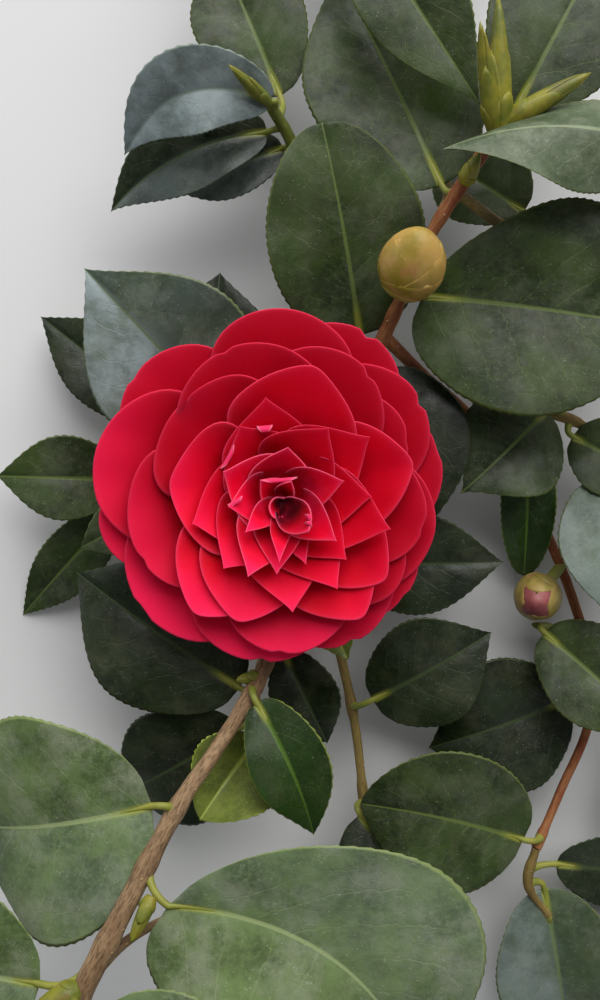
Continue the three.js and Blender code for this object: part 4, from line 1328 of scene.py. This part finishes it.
def petal_material(tone, painted_shade_red, face, lit, rim):
    """Petals: painted shade makes them deep red towards the foot, painted light brightens and pinks them
    towards the tip, a painted highlight lines the rim, and fine fibres run along them
    """
    material, n, shader, where = new_material(
        f"petal_{tone}", Specular_IOR_Level=0.06, Sheen_Weight=0.1, Sheen_Roughness=0.5,
        Sheen_Tint=colour(0xF03050), Subsurface_Weight=0.3, Subsurface_Scale=0.002,
        Subsurface_Radius=(1.0, 0.08, 0.1),
    )
    pattern = n.pattern()
    s = n.parts(pattern)["Y"]
    painted_light = n.attribute("painted_light")
    fibres = n.noise(n.stretched(pattern, (70.0, 2.2, 1.0)), 1.0, 4.0, 0.6)
    # Painted shade towards the foot, where the petal goes under the petals above, and painted light
    # towards the tip
    base = n.blend(n.step(s, 0.35, 0.8), colour(painted_shade_red), colour(face))
    base = n.tint(base, lit, n.step(s, 0.75, 1.0, 0.0, 0.7))
    base = n.tint(base, painted_shade_red, n.step(fibres, 0.5, 0.75), 0.14)
    base = n.tint(base, lit, n.step(n.noise(where, 130.0, 3.0), 0.4, 0.7), 0.25)
    # Painted shade: petals away from the lit side are deepened towards the foot's red
    base = n.tint(base, painted_shade_red, n.step(painted_light, 0.0, 1.0, 0.45, 0.0))
    # Painted light: tips of petals on the lit side glow pink
    glow = n.times(n.step(s, 0.6, 1.0), n.step(painted_light, 0.5, 1.0, 0.0, 0.85))
    base = n.tint(base, GLOW_PINK, glow)
    # Painted highlight: a pale pink line along the rim, where the edge catches the light
    base = n.tint(base, rim, n.attribute("rim"), 0.62)
    n.put(shader["Base Color"], base)
    n.put(shader["Roughness"], n.step(n.noise(where, 900.0), 0.3, 0.7, 0.5, 0.62))
    relief = n.plus(fibres, n.times(n.noise(where, 2600.0, 2.0), 0.4))
    n.raise_surface(shader, relief, 0.35, 0.12)
    return material


PALE_PETAL = petal_material("curl", 0xD02048, 0xE4386A, 0xEC5880, 0xF48CA4)
PETALS = {tone: petal_material(tone, *values) for tone, values in PETAL_TONES.items()}


def bark_material(name, old, young, old_end=-0.03, young_start=0.0, relief=0.5):
    """Bark with streaks along the limb, read from the grain that the sweep stores. It goes from
    the old tones to the young ones between two lengths along the limb, in metres"""
    material, n, shader, where = new_material(name, Specular_IOR_Level=0.3)
    grain = n.attribute("grain", "Vector")
    flakes = n.noise(n.stretched(grain, (2600.0, 2600.0, 420.0)), 1.0, 5.0, 0.65)
    patches = n.noise(n.stretched(grain, (420.0, 420.0, 90.0)), 1.0, 4.0)
    patched = n.step(patches, 0.35, 0.65)
    flaked = n.step(flakes, 0.46, 0.6)
    worn = n.blend(patched, colour(old[1]), colour(old[2]))
    worn = n.tint(worn, old[0], flaked, 0.6)
    fresh = n.blend(patched, colour(young[1]), colour(young[2]))
    fresh = n.tint(fresh, young[0], flaked, 0.4)
    run = n.plus(n.parts(grain)["Z"], n.swing(patches, 0.03))
    n.put(shader["Base Color"], n.blend(n.step(run, old_end, young_start), worn, fresh))
    n.put(shader["Roughness"], n.step(flakes, 0.3, 0.7, 0.55, 0.8))
    height = n.plus(flakes, n.times(n.noise(where, 1400.0, 3.0), 0.3))
    height = n.times(height, n.step(run, old_end, young_start, 1.0, 0.3))
    n.raise_surface(shader, height, relief, 0.3)
    return material


GREY_BARK = (0x40301F, 0x7C6044, 0x987C5C)
RED_BARK_TONES = (0x4C2214, 0x7E4226, 0x96643A)
TWIG_BARK_TONES = (0x40341C, 0x6E5A30, 0x84703C)
GREEN_BARK_TONES = (0x3A3216, 0x525A1E, 0x6C742C)
STEM_BARK = bark_material(
    "stem_bark", GREY_BARK, RED_BARK_TONES, old_end=0.085, young_start=0.15, relief=0.8,
)
RED_BARK = bark_material("red_bark", TWIG_BARK_TONES, RED_BARK_TONES)
GREEN_BARK = bark_material("green_bark", GREY_BARK, GREEN_BARK_TONES)
TWIG_BARK = bark_material("twig_bark", GREY_BARK, TWIG_BARK_TONES)
LENTICEL = smooth_green("lenticel", 0x8C7250, 0xA08660, 0x5A4028, 0.3, rough=0.7, scale=900.0)


# Limbs are swept along their paths by one node tree


SWEEP_DEFAULTS = {
    "Sides": ("NodeSocketInt", 20), "Step": ("NodeSocketFloat", 0.8 * MM),
    "Relief": ("NodeSocketFloat", 0.2 * MM), "Ridge Scale": ("NodeSocketFloat", 900.0),
    "Smooth From": ("NodeSocketFloat", 100 * MM), "Spot Size": ("NodeSocketFloat", 0.3 * MM),
    "Spot Spacing": ("NodeSocketFloat", 3 * MM),
}
ROUND_GRAIN = (0.002, 0.002, 0.0)
LONG_GRAIN = (1.0, 1.0, 0.16)
YOUNG_RELIEF_LOSS = 0.88
SPOT_STEPS = 1
SPOT_SHAPE = (1.0, 1.6, 0.35)


def swept_path(n, given):
    """A ring carried along each path; it stores the grain, which runs round and along the limb"""
    path = n.add("GeometryNodeMeshToCurve", {"Mesh": given["Geometry"]}).outputs[0]
    values = {"Curve": path, "Radius": n.named("thickness")}
    path = n.add("GeometryNodeSetCurveRadius", values).outputs[0]
    values = {"Curve": path, "Length": given["Step"]}
    path = n.add("GeometryNodeResampleCurve", values, mode="LENGTH").outputs[0]
    path = n.stored(path, "run", n.add("GeometryNodeSplineParameter").outputs["Length"])
    ring = n.add("GeometryNodeCurvePrimitiveCircle", {"Resolution": given["Sides"], "Radius": 1.0})
    spot = n.add("GeometryNodeInputPosition").outputs[0]
    ring = n.stored(ring.outputs["Curve"], "round", spot, "FLOAT_VECTOR")
    radius = n.add("GeometryNodeInputRadius").outputs[0]
    values = {"Curve": path, "Profile Curve": ring, "Scale": radius, "Fill Caps": True}
    bark = n.add("GeometryNodeCurveToMesh", values).outputs[0]
    flat = n.parts(n.stretched(n.named("round", "FLOAT_VECTOR"), ROUND_GRAIN))
    values = {"X": flat["X"], "Y": flat["Y"], "Z": n.named("run")}
    grain = n.add("ShaderNodeCombineXYZ", values).outputs[0]
    return n.stored(bark, "grain", grain, "FLOAT_VECTOR")


def raised_bark(n, given, bark):
    """Ridges along the grain, fainter where the limb is young"""
    long_grain = n.stretched(n.named("grain", "FLOAT_VECTOR"), LONG_GRAIN)
    ridges = n.noise(long_grain, given["Ridge Scale"], 3.0)
    young = n.calc("GREATER_THAN", n.named("run"), given["Smooth From"])
    left = n.minus(1.0, n.times(young, YOUNG_RELIEF_LOSS))
    height = n.times(n.swing(ridges, given["Relief"]), left)
    push = n.scaled(n.add("GeometryNodeInputNormal").outputs[0], height)
    bark = n.add("GeometryNodeSetPosition", {"Geometry": bark, "Offset": push}).outputs[0]
    return n.coated(bark, given["Bark"])


def bark_spots(n, given, bark):
    """Small raised spots scattered over the bark"""
    values = {"Mesh": bark, "Distance Min": given["Spot Spacing"], "Density Max": 60000.0, "Seed": 7}
    places = n.add("GeometryNodeDistributePointsOnFaces", values, distribute_method="POISSON").outputs
    spot = n.add("GeometryNodeMeshIcoSphere", {"Radius": given["Spot Size"], "Subdivisions": SPOT_STEPS})
    values = {
        "Points": places["Points"], "Instance": spot.outputs[0], "Rotation": places["Rotation"],
        "Scale": SPOT_SHAPE,
    }
    spots = n.add("GeometryNodeInstanceOnPoints", values).outputs[0]
    spots = n.add("GeometryNodeRealizeInstances", {"Geometry": spots}).outputs[0]
    return n.coated(spots, given["Spots"])


def sweep_tree():
    """Sweeps bark round each path and scatters spots over it"""
    tree = bpy.data.node_groups.new("bark_sweep", "GeometryNodeTree")
    face = tree.interface
    face.new_socket("Geometry", in_out="INPUT", socket_type="NodeSocketGeometry")
    for label, (kind, value) in SWEEP_DEFAULTS.items():
        face.new_socket(label, in_out="INPUT", socket_type=kind).default_value = value
    for label in ("Bark", "Spots"):
        face.new_socket(label, in_out="INPUT", socket_type="NodeSocketMaterial")
    face.new_socket("Geometry", in_out="OUTPUT", socket_type="NodeSocketGeometry")
    n = Nodes(tree)
    given = n.add("NodeGroupInput").outputs
    bark = raised_bark(n, given, swept_path(n, given))
    join = n.add("GeometryNodeJoinGeometry")
    tree.links.new(bark, join.inputs[0])
    tree.links.new(bark_spots(n, given, bark), join.inputs[0])
    smooth = n.add("GeometryNodeSetShadeSmooth", {"Geometry": join.outputs[0]}).outputs[0]
    n.put(n.add("NodeGroupOutput").inputs["Geometry"], smooth)
    return tree


SWEEP = sweep_tree()
SWEEP_INPUTS = {
    item.name: item.identifier for item in SWEEP.interface.items_tree if item.in_out == "INPUT"
}
JOINT_SWELLING = 0.5
JOINT_REACH = 2.4
MOST_SWELLING = 0.35
PATH_STEPS = 24


def swollen(limb, joints, at):
    """The limb's radius, thicker where a leaf or twig joins"""
    here = limb.point(at)
    extra = 0.0
    for joint in joints:
        away = (here - limb.point(joint)).length
        extra += JOINT_SWELLING * math.exp(-(away / JOINT_REACH) ** 2)
    return limb.radius(at) + min(extra, MOST_SWELLING)


def limbs_path(name, limbs):
    """The limbs' middle lines, with their thickness stored at each point"""
    places, thicknesses, edges = [], [], []
    for limb, joints in limbs:
        steps = PATH_STEPS * limb.spans
        first = len(places)
        for k in range(steps + 1):
            at = limb.spans * k / steps
            places.append(to_metres(limb.point(at)))
            thicknesses.append(swollen(limb, joints, at) * MM)
        edges += [(first + k, first + k + 1) for k in range(steps)]
    mesh = bpy.data.meshes.new(name)
    mesh.from_pydata(places, edges, [])
    mesh.attributes.new("thickness", "FLOAT", "POINT").data.foreach_set("value", thicknesses)
    return linked(name, mesh)


def limbs_piece(name, limbs, bark, relief=0.15, smooth_from=100, spot_spacing=6.0):
    """Sweeps bark round limbs. Each limb comes with the places where something joins it"""
    path = limbs_path(name + "_path", limbs)
    sweep = path.modifiers.new("sweep", "NODES")
    sweep.node_group = SWEEP
    values = {label: value for label, (_, value) in SWEEP_DEFAULTS.items()}
    values |= {
        "Relief": relief * MM, "Smooth From": smooth_from * MM, "Spot Spacing": spot_spacing * MM,
        "Bark": bark, "Spots": LENTICEL,
    }
    for label, value in values.items():
        sweep[SWEEP_INPUTS[label]] = value
    depsgraph = bpy.context.evaluated_depsgraph_get()
    swept = bpy.data.meshes.new_from_object(path.evaluated_get(depsgraph))
    swept.name = name
    bpy.data.objects.remove(path)
    return linked(name, swept)


def kept(piece, slot, *nodes):
    """Every piece rides on the branch, which is one body"""
    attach(piece, "root")
    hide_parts(*nodes)


def joints_of(leaves, sprays):
    """Where leaves and sprays join their limb"""
    return [shape["at"] for shape in leaves] + [spray["from"] for spray in sprays]


def dress_limb(leaves, sprays, limb):
    """The leaves and the sprays that grow on one limb"""
    for name, shape in leaves.items():
        kept(leaves_piece(f"{name}_blade", [shape], limb), "leaf", name)
    for name, spray in sprays.items():
        twig = Limb(spray["points"], spray["radii"], limb.point(spray["from"]))
        kept(leaves_piece(f"{name}_leaves", spray["leaves"], twig), "leaf", name)
        bark = GREEN_BARK if spray.get("green") else TWIG_BARK
        joints = joints_of(spray["leaves"], [])
        kept(limbs_piece(f"{name}_twig", [(twig, joints)], bark), "bark", name)
        buds = sighted_buds(spray.get("buds", [])) + [end_bud(twig)]
        kept(leaf_buds_piece(f"{name}_buds", buds), "bud_scales", name)


stem = Limb(MAIN_STEM["points"], MAIN_STEM["radii"])
bough = Limb(RIGHT_BOUGH["points"], RIGHT_BOUGH["radii"], stem.point(RIGHT_BOUGH["from"]))
side_twig = Limb(SIDE_TWIG["points"], SIDE_TWIG["radii"], stem.point(SIDE_TWIG["from"]))

stem_joints = joints_of(STEM_LEAVES.values(), STEM_SPRAYS.values()) + [RIGHT_BOUGH["from"]]
bough_joints = joints_of(BOUGH_LEAVES.values(), BOUGH_SPRAYS.values())
stem_bark = limbs_piece(
    "main_stem_bark", [(stem, stem_joints), (side_twig, [])], STEM_BARK,
    relief=0.24, smooth_from=110, spot_spacing=5.0,
)
kept(stem_bark, "bark", "main_stem")
bough_bark = limbs_piece(
    "right_bough_bark", [(bough, bough_joints)], RED_BARK,
    relief=0.2, smooth_from=0, spot_spacing=3.5,
)
kept(bough_bark, "red_bark", "right_bough")
kept(leaf_buds_piece("main_stem_buds", sighted_buds(STEM_BUDS)), "bud_scales", "main_stem")
dress_limb(STEM_LEAVES, STEM_SPRAYS, stem)
dress_limb(BOUGH_LEAVES, BOUGH_SPRAYS, bough)

kept(
    round_bud("flower_bud_scaly", FLOWER_BUD, stem, FLOWER_BUD_TIERS, [BUD_SCALES, BUD_SCALES, RED_BARK]),
    "bud_scales", "flower_bud",
)
kept(
    round_bud("small_bud_scaly", SMALL_BUD, bough, SMALL_BUD_TIERS, [BUD_BLUSH, SMALL_BUD_SCALES, STALK]),
    "bud_scales", "small_bud",
)
kept(calyx_piece(stem, [CALYX_SCALES, CALYX_SCALES, STALK]), "bud_scales", "calyx")
for petal_ring in PETAL_RINGS:
    kept(petals_piece(petal_ring), "petals", "flower")
kept(curls_piece(), "petals", "flower")


# The floor, the light and the camera


FLOOR_SIZE = 6.0
FLOOR_DROP = 0.3 * MM
FLOWER_PLACE = Vector((0, 0, 0.03))
WORLD_TINT = (0.86, 0.9, 0.95, 1.0)
WORLD_STRENGTH = 0.17


def make_floor():
    bpy.ops.mesh.primitive_plane_add(size=FLOOR_SIZE, location=(0, 0, -FLOOR_DROP))
    floor = bpy.context.object
    floor.name = "floor"
    material, n, shader, where = new_material("floor_pale", Specular_IOR_Level=0.2)
    shade = n.step(n.noise(where, 2.0, 3.0), 0.3, 0.7)
    n.put(shader["Base Color"], n.blend(shade, (0.62, 0.62, 0.63, 1.0), (0.66, 0.66, 0.66, 1.0)))
    shader["Roughness"].default_value = 0.85
    floor.data.materials.append(material)


def make_light(name, place, size, power, tint):
    """A square area light that looks at the flower"""
    data = bpy.data.lights.new(name, "AREA")
    data.size = size
    data.energy = power
    data.color = tint
    light = linked(name, data)
    light.location = place
    light.rotation_mode = "QUATERNION"
    light.rotation_quaternion = (FLOWER_PLACE - Vector(place)).to_track_quat("-Z", "Y")


def make_camera():
    """Looks straight down on the flower's rim, at the photo's scale"""
    data = bpy.data.cameras.new("camera")
    data.sensor_width = SENSOR
    data.lens = SENSOR * EYE_HEIGHT / PHOTO_HEIGHT
    data.clip_start = 0.01
    camera = linked("camera", data)
    camera.location = to_metres(Vector((0, 0, EYE_HEIGHT)))
    bpy.context.scene.camera = camera


make_floor()
make_light("sky", (0.2, 0.8, 0.75), 1.2, 21.0, (1.0, 0.99, 0.97))
make_light("front", (0.4, -0.75, 0.7), 0.8, 1.2, (0.97, 0.98, 1.0))
make_light("left_glow", (-0.9, 0.35, 0.3), 0.6, 2.2, (0.95, 0.97, 1.0))
make_camera()
world = bpy.context.scene.world or bpy.data.worlds.new("world")
bpy.context.scene.world = world
world.use_nodes = True
sky = world.node_tree.nodes["Background"].inputs
sky["Color"].default_value = WORLD_TINT
sky["Strength"].default_value = WORLD_STRENGTH
bpy.context.scene.view_settings.view_transform = "Standard"
